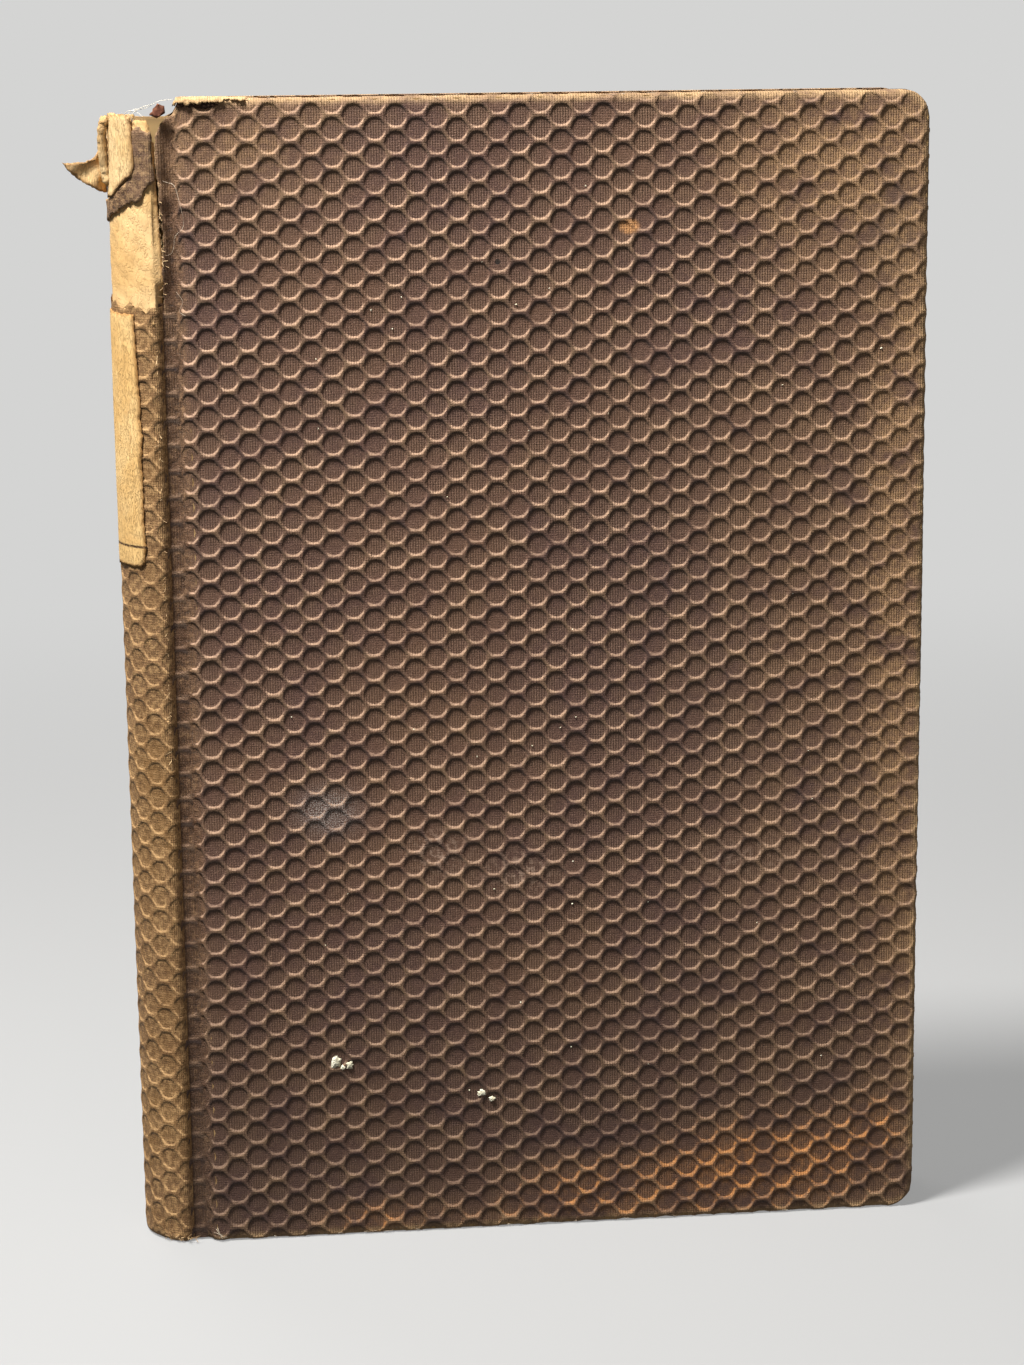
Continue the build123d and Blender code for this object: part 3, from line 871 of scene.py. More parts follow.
def spine_cloth(settings, seed):
    """Embossed cloth round the spine, torn off below the head and rounded in at the tail."""
    half = -U_MIDDLE
    columns = int(2 * half / settings.column_spacing) + 3
    rows = int((SPINE_TOP + 4) / settings.row_spacing) + 3
    flat, faces, relief, painted_lighting = grain_sheet(columns, rows, settings, material("spine_cloth"), seed)
    t, z = flat[:, 0], flat[:, 1] + SPINE_TOP / 2
    torn = SPINE_TOP - 0.2 + 0.5 * np.sin(t * 1.3) + 0.35 * np.sin(t * 3.1 + 1) - 0.15 * np.abs(t - 2) ** 0.8
    limit = half - 0.25
    faces, used = keep_faces(faces, (z < torn) & (z > -1.6) & (np.abs(t) < limit))
    t, z, relief, height, torn, painted_lighting = t[used], z[used], relief[used], flat[used, 2], torn[used], painted_lighting[used]
    t = np.clip(t, -limit, limit)
    z = np.clip(z, -1.6, None)
    z = np.where(z > torn, torn + (z - torn) * 0.15, z)
    near_joint = soft_step(np.abs(t), half - 1.8, half - 0.4)
    fade = (1 - near_joint) * 0.85 * soft_step(z, 0.4, 3.0) * soft_step(-z, -SPINE_TOP - 1, -SPINE_TOP + 4)
    height = height * fade + (1 - fade) * 0.75
    sunk = np.where(z < 0.8, 0.8 - z, 0)
    turn = np.clip(sunk / 0.8, 0, math.pi / 2)
    inward = 0.8 * (1 - np.cos(turn)) + np.maximum(sunk - 0.8 * math.pi / 2, 0)
    low = np.where(z < 0.8, 0.8 - 0.8 * np.sin(turn), z)
    places = on_spine(t, low, (height - 1) * settings.depth * 0.75 - inward)
    edge = np.maximum(0.3 * near_joint - 2.0 + 1.6 * (z < 2), z - torn + 0.1)
    edge = np.where(np.abs(np.abs(t) - (half - 2.9)) < 0.8, np.maximum(edge, -0.9), edge)
    faces = [f[::-1] for f in faces]
    # The sheet carries the painted highlight and shade of its cells.
    piece = new_piece("spine_cloth_look", places, faces, material("spine_cloth"), "book_block", attributes={
        "flat": flat_vectors(t + 200, z), "relief": relief * fade, "painted_lighting": painted_lighting * fade, "edge": edge})
    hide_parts("spine_cloth")
    return piece


# ---------------------------------------------------------------- joints

def lattice(u, z, spacing, rows):
    """Height of the embossed pattern at flat places, and its painted highlight and shade, worked out
    directly.
    """
    best, painted_lighting = np.full(u.shape, 9.0), np.zeros(u.shape)
    column = np.round(u / spacing)
    for shift in (-1, 0, 1):
        centre_u = (column + shift) * spacing
        offset = np.where((column + shift) % 2 == 0, 0, rows / 2)
        centre_z = np.round((z - offset) / rows) * rows + offset
        du, dz = u - centre_u, z - centre_z
        away = np.hypot(du, dz)
        near = away < best
        best = np.where(near, away, best)
        # Painted light: above 0 on the lower part of each cell, which faces the lamp above, and below 0 along
        # its top, in shade.
        painted_lighting = np.where(near, -dz / np.maximum(away, 0.1), painted_lighting)
    height = soft_step(best, 1.35, 1.75)
    return height, np.where(height > 0.15, painted_lighting, 0.0) * np.minimum(height * 2, 1)


def joint_strip(side, name, settings):
    """Cloth down in the joint groove, curving from the spine round to the cover."""
    top = SPINE_TOP - 0.6
    u = np.linspace(-1.4, 2.4, 20)
    z = np.linspace(0.35, top, 560)
    uu, zz = np.meshgrid(u, z)
    flat_u, flat_z = uu.ravel(), zz.ravel()
    pucker = 0.05 * np.sin(flat_z * 1.53) + 0.04 * np.sin(flat_z * 0.61 + flat_u)
    x, y, nx, ny = OUTLINE.at(flat_u)
    # The lattice also gives the painted highlight and shade of each cell.
    height, painted_lighting = lattice(flat_u - 0.6, flat_z, settings.column_spacing, settings.row_spacing)
    rise = pucker * soft_step(flat_u, 1.6, 0.8) - 0.08 - 0.4 * soft_step(np.abs(flat_u - 0.5), 1.3, 1.9)
    rise += (height - 0.7) * 0.11 - 0.2 * soft_step(flat_z, top - 2.4, top)
    places = np.stack([x + nx * rise, (y + ny * rise) * side, flat_z], 1)
    faces = grid_faces(len(z), len(u), side > 0)
    piece = new_piece(name, places, faces, side_cloth(side), attributes={
        "flat": flat_vectors(flat_u, flat_z),
        "relief": 0.1 + height * 0.8, "painted_lighting": painted_lighting * 0.7,
        "edge": np.full(len(flat_u), -5.0)})
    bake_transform(piece)
    return piece


def head_joint(side, name, cover):
    """The joint cloth above the tear: it has parted from the spine and hangs on the cover."""
    low, high = SPINE_TOP - 3.4, HEIGHT
    corners = [
        (0.1, low, 0.3), (2.9, low, 0), (2.9, high - 2.2, 0.3), (2.0, high - 2.6, 0.5),
        (1.1, high - 3.0, 0.5), (0.3, high - 3.9, 0.5), (-0.5, high - 5.6, 0.6),
        (-0.65, high - 9, 0.6), (-0.3, high - 16, 0.8), (0.0, high - 24, 0.8),
    ]

    def place(u, z, lift):
        x, y, nx, ny = OUTLINE.at(np.maximum(u, 1.2))
        gape = 0.95 * soft_step(u, 1.4, -0.3) + 0.08 * np.sin(z * 1.1)
        proud = gape * soft_step(z, SPINE_TOP - 1, SPINE_TOP + 5)
        tucked = 0.3 * soft_step(u, 2.0, 2.8)
        rise = lift - 0.4 + 0.04 * np.sin(z * 1.5) - tucked - 0.3 * soft_step(z, low + 2.2, low)
        return np.stack([x - np.maximum(1.2 - u, 0) + nx * rise, (y + ny * rise + proud) * side, z], 1)

    places, faces, attributes = torn_patch(corners, place, 0.36, 0.2, 11 + side, 0.5, 0.35)
    attributes["edge"] = 0.2 - attributes["edge"] * 5.0
    attributes["relief"] += 0.6
    piece = new_piece(name, places, faces, side_cloth(side), cover, attributes=attributes)
    return piece


def endpaper_joint(side, name):
    """The endpaper's fold across the inside of the joint."""
    z = np.linspace(BLOCK_Z[0] + 0.4, BLOCK_Z[1] - 0.4, 60)
    share = np.linspace(0, 1, 9)
    x = 3.3 + 1.9 * share - 1.2 * np.sin(share * math.pi) * 0.5
    y = -(6.83 - 0.3 * share - 0.35 * np.sin(share * math.pi))
    xx, zz = np.meshgrid(x, z)
    yy, _ = np.meshgrid(y, z)
    yy = yy - 0.02 * np.sin(zz * 0.7)
    places = np.stack([xx.ravel(), yy.ravel() * -side, zz.ravel()], 1)
    piece = new_piece(name, places, grid_faces(len(z), len(x), side > 0), material("endpaper"), attributes={
        "flat": flat_vectors(xx.ravel() + 300, zz.ravel()), "edge": np.full(xx.size, 0.5)})
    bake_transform(piece)
    return piece


# ---------------------------------------------------------------- inside the covers

def rounded_loop(margin, corner, count=10):
    """Round-cornered outline of a cover leaf at a margin inside the cover, as (x, z)."""
    x0, x1, z0, z1 = 3.2, REACH - margin, margin, HEIGHT - margin
    loop = [(x0, z0)]
    for cx, cz, first in ((x1 - corner, z0 + corner, -90), (x1 - corner, z1 - corner, 0)):
        for a in np.radians(np.linspace(first, first + 90, count)):
            loop.append((cx + corner * math.cos(a), cz + corner * math.sin(a)))
    loop.append((x0, z1))
    return np.array(loop)


def turn_in(side, name, cover):
    """The cloth folded to the inside of a cover, showing round the pastedown."""
    rings = []
    steps = ((0.0, 0.35, 4.5), (0.12, 0.1, 4.4), (0.5, 0.0, 4.0), (2.0, 0.02, 2.6), (4.6, 0.06, 0.8))
    for margin, raise_by, corner in steps:
        loop = rounded_loop(margin, max(corner, 0.3))
        y = INNER + raise_by * 0.9
        rings.append(np.c_[loop[:, 0], np.full(len(loop), side * y), loop[:, 1]])
    count = len(rings[0])
    places = np.vstack(rings)
    faces = grid_faces(len(rings), count, side < 0)
    margin = np.repeat([s[0] for s in steps], count)
    piece = new_piece(name, places, faces, material("back_cloth"), cover, attributes={
        "flat": flat_vectors(places[:, 0] + 400, places[:, 2]), "edge": 0.1 - margin * 1.2,
        "relief": np.full(len(places), 0.35)})
    return piece


def paper_leaf(name, node, side, inward, body, seed):
    """An endpaper leaf with a slight cockle. inward is -1 for a pastedown and 1 for a flyleaf."""
    low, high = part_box(node)
    x0, x1 = low.x / MM - HINGE_X, high.x / MM - HINGE_X
    z0, z1 = low.z / MM, high.z / MM
    facing = side * inward
    y = (high.y if facing > 0 else low.y) / MM
    rng = np.random.default_rng(seed)
    xs, zs = np.linspace(x0, x1, 40), np.linspace(z0, z1, 60)
    xx, zz = np.meshgrid(xs, zs)
    from_edge = np.minimum.reduce([xx - x0 + 3, x1 - xx, zz - z0, z1 - zz])
    ripple = 0.5 + 0.5 * np.sin(xx * 0.11 + rng.uniform(0, 6)) * np.sin(zz * 0.07 + rng.uniform(0, 6))
    yy = y + facing * (0.02 + 0.04 * ripple)
    places = np.stack([xx.ravel(), yy.ravel(), zz.ravel()], 1)
    faces = grid_faces(len(zs), len(xs), facing > 0)
    piece = new_piece(name, places, faces, material("endpaper"), body, attributes={
        "flat": flat_vectors(xx.ravel() + 100 * seed, zz.ravel()), "edge": from_edge.ravel() * 0.25})
    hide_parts(node)
    return piece


def text_block(settings):
    """The leaves: thin layers, each a little out of line with the next."""
    rng = np.random.default_rng(settings.seed)
    count = settings.leaves
    levels = np.linspace(-1, 1, count + 1)
    back_radius = SPINE_CENTRE - BLOCK_BACK
    half = BLOCK_HIGH.y / MM
    flat_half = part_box("front_flyleaf")[1].y / -MM
    stations = np.r_[0, 0.012, 0.03, 0.055, 0.09, 0.2, 0.45, 0.7, 0.9, 0.97, 1]
    places, faces, leaf = [], [], []

    def curve(level, inset):
        back_y = level * half * 0.985
        x0 = SPINE_CENTRE - math.sqrt(max(back_radius ** 2 - back_y ** 2, 0.1)) + 0.03
        x1 = BLOCK_FORE - 2.5 * (1 - level ** 2) - inset
        x = x0 + (x1 - x0) * stations
        swell = soft_step(x, 5.6, -4.0)
        y = level * (flat_half - 0.02 + (half * 0.985 - flat_half) * swell)
        return np.stack([x, y], 1)

    for k in range(count):
        inset = max(0.0, rng.normal(0.06, 0.05))
        z0 = BLOCK_Z[0] + max(0.0, rng.normal(0.05, 0.04))
        z1 = BLOCK_Z[1] - max(0.0, rng.normal(0.06, 0.05))
        first, second = curve(levels[k], inset), curve(levels[k + 1], inset)
        ring = np.vstack([first, second[::-1]])
        n = len(ring)
        base = sum(len(p) for p in places)
        places.append(np.c_[ring, np.full(n, z0)])
        places.append(np.c_[ring, np.full(n, z1)])
        leaf += [k + 0.0] * len(first) + [k + 1.0] * len(first)
        leaf += [k + 0.0] * len(first) + [k + 1.0] * len(first)
        m = len(first)
        for i in range(n):
            j = (i + 1) % n
            faces.append((base + i, base + j, base + n + j, base + n + i))
        for i in range(m - 1):
            a, b, c, d = i, i + 1, n - 2 - i, n - 1 - i
            faces.append((base + d, base + c, base + b, base + a))
            faces.append((base + n + a, base + n + b, base + n + c, base + n + d))
    piece = new_piece("page_leaves", np.vstack(places), faces, material("pages"), "book_block", smooth=False,
                      attributes={"leaf": np.array(leaf) / count})
    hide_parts("text_block")
    return piece


# ---------------------------------------------------------------- torn head

def t_at(x):
    """Place round the front half of the spine at a given x."""
    return -(OUTLINE.u_at(x) - U_MIDDLE)


def spine_sheet(name, corners, lift, thickness, key, seed, jag=0.25, nodes=(), wave=0.0,
                spacing=0.7, folds=False):
    """A torn sheet laid on the round of the spine. lift is how far its underside stands off it."""
    def place(t, z, rise):
        slow = np.sin(z * 0.55 + t) * 0.4 + np.sin(t * 2.3 + z * 0.2) * 0.4
        swell = wave * (slow + np.sin(z * 1.9 - t * 1.2) * 0.3)
        if folds:
            line = t_at(-1.75) + 0.25 * np.sin(z * 0.21)
            ridge = np.exp(-((t - line) / 0.2) ** 2) * soft_step(z, HEIGHT - 14, HEIGHT - 17)
            line = t_at(-3.6) + 0.5 * np.sin(z * 0.3 + 1)
            crease = np.exp(-((t - line) / 0.3) ** 2) * soft_step(z, HEIGHT - 20, HEIGHT - 26)
            swell = swell + 0.2 * ridge - 0.12 * crease
        raised = on_spine(t, z, lift + swell + rise)
        level = HALF - 0.36 + lift - GROOVE_DEPTH * soft_step(z, SPINE_TOP + 3.0, SPINE_TOP)
        over = (raised[:, 0] > -2.3) & (np.abs(raised[:, 1]) < level + swell + rise)
        raised[over, 1] = (np.sign(t) * (level + swell + rise))[over]
        shoulder_x = OUTLINE.at(np.abs(t) + U_MIDDLE)[0]
        raised[over, 0] = (shoulder_x - 0.36 * (lift + swell + rise))[over]
        return raised

    places, faces, attributes = torn_patch(corners, place, thickness, jag, seed, spacing)
    if key.endswith("cloth"):
        attributes["edge"] = 0.15 - attributes["edge"] * 4.0
        attributes["relief"] += 0.35
    piece = new_piece(name, places, faces, material(key), "book_block", attributes=attributes)
    if nodes:
        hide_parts(*nodes)
    return piece


def bare_spine():
    """The card inlay and the paper over it, bare where the cloth is gone."""
    far = t_at(-0.1)
    head = HEIGHT - 2.4
    low = SPINE_TOP - 4
    corners = [
        (far, low, 0), (-far, low, 0.2), (-far, head - 1.5, 1), (-far - 3, head - 0.6, 1),
        (3, head - 0.2, 0.7), (-2.5, head - 0.4, 0.7), (-6, head - 0.8, 0.7),
        (t_at(-2.0), head - 0.9, 1), (t_at(-0.95), head - 3, 0.4),
        (t_at(-0.75), head - 12, 0.4), (t_at(-0.3), head - 21, 0.4),
    ]
    spine_sheet("bare_lining", corners, -0.62, 0.3, "lining", 5, 0.22, wave=0.08,
                spacing=0.4, folds=True)
    low_corner, high_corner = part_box("spine_inlay")
    foot, top, half = low_corner.z / MM, high_corner.z / MM, 9.2
    card = [(-half, foot, 0), (half, foot, 0), (half, top - 0.5, 0.8), (0, top - 0.2, 0.8),
            (-half, top - 0.6, 0.8)]
    spine_sheet("inlay_card", card, -1.2, 0.5, "card", 6, 0.2, ("spine_inlay",), spacing=1.6)


def head_scraps():
    """What is left of the cloth and paper at the head of the spine."""
    h = HEIGHT
    outline = [
        (t_at(-4.7), h - 5.6, 0.5), (t_at(-3.4), h - 4.2, 0.9), (t_at(-2.2), h - 4.9, 0.9),
        (t_at(-1.15), h - 5.0, 0.7), (t_at(-0.95), h - 10.5, 0.4), (t_at(-0.8), h - 12.6, 1),
        (t_at(-1.9), h - 13.2, 1), (t_at(-3.2), h - 15.6, 1), (t_at(-5.6), h - 16.4, 1),
        (t_at(-7.2), h - 17.6, 1), (0.5, h - 19.2, 1), (0.3, h - 15.8, 1), (t_at(-7.4), h - 14.4, 0.9),
        (t_at(-5.2), h - 12.6, 0.6),
    ]
    spine_sheet("cloth_scrap_look", outline, -0.26, 0.3, "scrap_cloth", 21, 0.42,
                ("head_cloth_scrap",), 0.16, 0.45)
    slip = [
        (t_at(-7.6), h - 2.2, 0.9), (t_at(-4.2), h - 2.6, 0.9), (t_at(-3.9), h - 10.4, 0.2),
        (t_at(-4.3), h - 11.8, 0.3), (t_at(-5.5), h - 12.6, 0.6), (t_at(-7.3), h - 15.0, 0.6),
        (t_at(-8.1), h - 15.3, 0.8), (t_at(-7.7), h - 8.6, 0.5),
    ]
    spine_sheet("lining_slip", slip, 0.02, 0.22, "slip", 22, 0.16,
                ("head_lining_strip",), 0.05, 0.6)
    bit = [(-1.5, -0.8, 0.6), (-0.2, 1.0, 0.8), (0.9, 0.6, 0.8), (1.0, -0.5, 0.6), (-0.4, -1.3, 0.8)]

    def bit_place(a, b, lift):
        return np.stack([a + 0.2, -HALF + 0.35 - lift - 0.12 * a, h - 1.7 + b], 1)

    places, faces, attributes = torn_patch(bit, bit_place, 0.3, 0.25, 31, 0.5, 0.35)
    scab = material("scab")
    piece = new_piece("loose_cloth_bit", places, faces, scab, "front_cover", attributes=attributes)


def worn_head_edge():
    """Where the cloth has worn through along the head, near the joint: a ragged tan rim, and under it a dark
    sheet that paints the shade in the gap beneath the rim.
    """
    h = HEIGHT
    corners = [
        (2.6, h - 1.2, 0.8), (3.8, h - 0.7, 1), (6.2, h - 1.0, 1), (9.4, h - 0.7, 1), (14.5, h - 0.3, 0.6),
        (14.0, h + 0.2, 0.2), (6.0, h + 0.3, 0.4), (3.6, h + 0.1, 0.5),
    ]

    def place(u, z, lift):
        return on_cover(u, z, lift + 0.16 - 0.1 * soft_step(u, 9, 12), -1)[0]

    places, faces, attributes = torn_patch(corners, place, 0.16, 0.42, 61, 0.4, 0.25)
    attributes["edge"] = 0.4 - attributes["edge"]
    attributes["relief"] += 0.9
    rim = material("worn_edge")
    piece = new_piece("worn_head_edge", places, faces, rim, "front_cover", attributes=attributes)
    # Painted shade: a dark sheet laid on the cover stands for the shadow in the gap under the worn rim.
    gap = [
        (3.2, h - 1.4, 0.8), (5.0, h - 1.3, 0.8), (7.4, h - 1.6, 0.8), (10.6, h - 1.1, 0.6),
        (9.0, h - 0.7, 0.3), (3.6, h - 0.6, 0.3),
    ]

    def place_gap(u, z, lift):
        return on_cover(u, z, lift + 0.02, -1)[0]

    places, faces, attributes = torn_patch(gap, place_gap, 0.05, 0.25, 62, 0.5, 0.3)
    slit_shade = material("slit_shade")
    piece = new_piece("worn_head_gap", places, faces, slit_shade, "front_cover", attributes=attributes)


def lining_curl(settings):
    """Torn spine paper that peels off the back of the spine and curls out to a point."""
    h = HEIGHT
    corners = [
        (0.0, h - 2.8, 0.8), (1.4, h - 2.7, 1), (2.3, h - 3.6, 0.8), (2.5, h - 5.8, 0.8),
        (2.9, h - 7.6, 0.6), (3.9, h - 8.9, 0.7), (5.4, h - 9.6, 0.8), (7.2, h - 9.5, 0.8),
        (9.1, h - 9.3, 0.3), (8.3, h - 10.6, 0.8), (7.0, h - 11.9, 0.8), (5.4, h - 13.1, 0.8),
        (3.6, h - 14.1, 0.8), (1.8, h - 14.6, 0.6), (0.0, h - 14.6, 0.3),
    ]
    peel, radius, start, full_turn = 1.0, 2.3, 2.0, 1.45

    def place(a, z, lift):
        t = start - np.minimum(a, peel)
        x, y, nx, ny = OUTLINE.at(np.abs(t) + U_MIDDLE)
        run = np.maximum(a - peel, 0)
        turn = np.minimum(run / radius, full_turn)
        straight = np.maximum(run - full_turn * radius, 0)
        bx = x - radius * (1 - np.cos(turn)) - straight * math.sin(full_turn)
        by = y * np.sign(t) - radius * np.sin(turn) - straight * math.cos(full_turn)
        dx = np.where(run > 0, -np.cos(turn), nx)
        dy = np.where(run > 0, np.sin(turn), ny)
        cockle = 0.09 * np.sin(z * 1.4 + a) * np.clip(run, 0, 2)
        cup = 0.035 * run * np.clip(h - 11.5 - z, -2, 5) ** 2 * 0.35
        rise = 0.1 + lift + cockle - cup
        lean = -0.05 * run ** 1.5
        return np.stack([bx + dx * rise, by + dy * rise, z + lean * 0.4], 1)

    places, faces, attributes = torn_patch(corners, place, 0.42, 0.2, 41, 0.4, 0.3)
    slip = material("slip")
    piece = new_piece("lining_curl_look", places, faces, slip, "book_block", attributes=attributes)
    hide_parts("torn_lining_curl")
    rng = np.random.default_rng(settings.seed + 9)
    roll = bent_path([
        (-8.0, -4.2, h - 2.6), (-8.7, -4.0, h - 4.6), (-8.75, -3.7, h - 8.0), (-8.5, -3.3, h - 11.0),
        (-8.1, -3.2, h - 13.4),
    ], 32)
    sides = 12
    places, faces = tube(roll, 0.75, sides)
    places = places + rng.normal(0, 0.07, places.shape)
    ends = np.repeat(np.linspace(0, 1, len(roll)), sides)
    round_it = np.tile(np.arange(sides) * 0.4, len(roll))
    piece = new_piece("lining_roll", places, faces, slip, "book_block", attributes={
        "flat": flat_vectors(round_it, places[:, 2]), "edge": 0.3 + ends * 0.5})


def label():
    """The bare paper label, cracked along its fibres."""
    low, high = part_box("paper_label")
    z0, z1 = low.z / MM, high.z / MM
    corners = [
        (t_at(-4.8), z1 + 1.0, 0.6), (t_at(-4.2), z1 - 14, 0.7), (t_at(-4.3), z1 - 26, 0.7),
        (t_at(-4.3), z0 + 3.6, 0.4), (t_at(-4.5), z0 + 1.9, 0.5), (t_at(-5.2), z0 + 1.3, 0.5),
        (t_at(-7.5), z0 + 1.4, 0.8), (9.0, z0 + 1.2, 0.7), (9.3, z1 - 12, 0.7),
        (9.1, z1 + 0.6, 0.8), (2.0, z1 + 1.2, 0.8),
    ]
    spine_sheet("label_look", corners, 0.0, 0.17, "label", 51, 0.3,
                ("paper_label",), 0.03, 0.7)


# ---------------------------------------------------------------- threads and chips

def thread_piece(name, paths, key, body):
    """Several loose threads as one piece. paths: (points, radius) pairs."""
    places, faces = joined([tube(bent_path(p), r) for p, r in paths])
    piece = new_piece(name, places, faces, material(key), body)
    return piece


def fringe(rng, start, end, count, length, down, spread=0.35):
    """Short frayed fibres along a line, each (points, radius)."""
    start, end, down = (np.array(p, float) for p in (start, end, down))
    paths = []
    for _ in range(count):
        root = start + (end - start) * rng.uniform(0, 1)
        reach = length * rng.uniform(0.3, 1.0)
        way = down + rng.normal(0, spread, 3)
        way /= np.linalg.norm(way)
        bend = rng.normal(0, 0.25, 3) * reach
        points = [root, root + way * reach * 0.5 + bend * 0.5, root + way * reach + bend]
        paths.append((points, rng.uniform(0.025, 0.06)))
    return paths


def head_threads(rng):
    """White sewing threads and a short fringe at the torn head."""
    front, h = -HALF, HEIGHT
    white = [
        ([(-5.6, front + 3.8, h - 3.6), (-4.4, front + 2.0, h - 2.6), (-2.6, front + 0.6, h - 1.4),
          (-0.8, front - 0.1, h - 0.8)], 0.045),
        ([(-5.2, front + 3.2, h - 3.2), (-3.8, front + 1.6, h - 1.7), (-2.0, front + 0.4, h - 1.5),
          (0.2, front - 0.2, h - 0.4), (2.6, front - 0.3, h - 0.1)], 0.04),
        ([(-5.9, front + 4.0, h - 4.0), (-4.8, front + 2.6, h - 2.0), (-3.4, front + 1.2, h - 1.9),
          (-2.2, front + 0.6, h - 2.8)], 0.035),
    ]
    white += fringe(rng, (-7.6, -4.0, h - 3.4), (-3.6, -8.3, h - 3.6), 14, 1.3, (0, 0, 1), 0.5)
    thread_piece("head_threads", white, "pale_thread", "book_block")


def foot_threads(rng):
    """Frayed cloth at the foot of the spine, kept above the table."""
    foot = []
    for x, y in ((-5.4, -7.4), (-3.6, -8.6), (-1.6, -9.2)):
        foot += fringe(rng, (x, y, 0.9), (x + 1.6, y - 0.5, 0.9), 9, 1.6, (0.5, -0.35, 0.12), 0.45)
    foot = [([np.array([p[0], p[1], max(p[2], 0.12)]) for p in path], r) for path, r in foot]
    thread_piece("foot_threads", foot, "brown_fibre", "book_block")


def joint_fibres(rng):
    """Fuzz along the front joint, above the tear and below it."""
    front = -HALF
    joint = fringe(rng, (-0.3, front + 0.2, HEIGHT - 12), (0.0, front + 1.1, SPINE_TOP), 40, 1.2,
                   (0.5, -0.7, -0.3), 0.6)
    joint += fringe(rng, (-1.4, front - 0.1, SPINE_TOP + 1), (-1.3, front, 80), 60, 0.9,
                    (-0.3, -0.8, -0.4), 0.5)
    thread_piece("joint_fibres", joint, "brown_fibre", "book_block")


def cover_fibres(rng):
    """Stray fibres on the front cover: two curls by the joint, and short ones along its edges."""
    front = -HALF
    curls = (
        [(-0.3, 175.6), (1.0, 175.2), (2.2, 174.7), (2.8, 172.6), (3.5, 168.6), (2.1, 166.9), (1.8, 165.1),
         (1.3, 164.1), (0.1, 163.8)],
        [(2.0, 158.2), (2.9, 156.8), (2.4, 155.2), (3.4, 154.4)],
    )
    fibres = [([(x, front - 0.14 + max(0.0, 2.6 - x) * 0.5, z) for x, z in curl], 0.03) for curl in curls]
    for x0, z0, x1, z1 in ((2.9, 1.5, 4.4, 1.2), (3.2, 2.2, 5.2, 0.8), (3.4, 3.0, 4.8, 0.6)):
        middle = ((x0 + x1) / 2, front - 0.4, max(z1, 0.5) + 0.4)
        fibres.append(([(x0, front + 0.8, z0), middle, (x1, front - 0.1, z1)], 0.05))
    for _ in range(26):
        x = rng.uniform(4, REACH - 8)
        z = HEIGHT - 0.3 if rng.uniform() < 0.6 else 0.5
        lift = 0.5 if z > HEIGHT / 2 else 0.1
        middle = (x + rng.normal(0, 0.4), front - 0.1, z + lift * rng.uniform(0, 0.8))
        end = (x + rng.normal(0, 0.9), front - 0.15, z + lift * rng.uniform(-0.2, 1.0))
        fibres.append(([(x, front + 0.3, z), middle, end], 0.03))
    thread_piece("cover_fibres", fibres, "grey_fibre", "front_cover")


def loose_threads(settings):
    """Threads and fibres that have worked loose at the head, the joints and the foot."""
    rng = np.random.default_rng(settings.seed)
    head_threads(rng)
    foot_threads(rng)
    joint_fibres(rng)
    cover_fibres(rng)


def crust(rng, x, z, half_width, half_height):
    """One crust of dried matter on the front cover: a low uneven dome, or a flat fleck."""
    big = half_width > 0.3
    rings, sides, thick = (3, 14, 0.22) if big else (1, 6, 0.05)
    points, faces = [(x, -HALF - thick, z)], []
    wobble = rng.uniform(0.6, 1.15, sides)
    for r in range(1, rings + 1):
        for k in range(sides):
            angle = 2 * math.pi * k / sides
            share = r / rings * wobble[k]
            sunk = 0.12 if r == rings else 0
            top = thick * (1 - (r / rings) ** 3) * rng.uniform(0.7, 1.1) - sunk
            across, up = half_width * share * math.cos(angle), half_height * share * math.sin(angle)
            points.append((x + across, -HALF - top, z + up))
    for k in range(sides):
        faces.append((0, 1 + k, 1 + (k + 1) % sides))
        for r in range(rings - 1):
            a, b = 1 + r * sides + k, 1 + r * sides + (k + 1) % sides
            faces.append((a, a + sides, b + sides, b))
    return np.array(points), faces


def chips(settings):
    """Small crusts of dried matter stuck on the front cover, and flecks scattered over it."""
    rng = np.random.default_rng(settings.seed + 3)
    blobs = [
        (24.0, 30.6, 1.1, 1.2), (26.3, 30.0, 0.8, 0.8), (25.2, 29.6, 0.5, 0.5), (48.2, 24.0, 0.8, 0.7),
        (50.0, 22.9, 0.6, 0.5),
    ]
    for _ in range(46):
        x, z = rng.uniform(8, 116), rng.uniform(8, 180)
        blobs.append((x, z, rng.uniform(0.1, 0.22), rng.uniform(0.1, 0.22)))
    places, faces = joined([crust(rng, *blob) for blob in blobs])
    piece = new_piece("cover_chips", places, faces, material("chip"), "front_cover", smooth=False)


# ---------------------------------------------------------------- stage

def seen_share(g):
    """1 for rays that show a surface or the world, 0 for the light it gives."""
    path = g.tree.nodes.new("ShaderNodeLightPath")
    kinds = ("Camera", "Glossy", "Transmission")
    camera, glossy, through = (Value(g, path.outputs[f"Is {kind} Ray"]) for kind in kinds)
    return (camera + glossy + through).low(1.0)


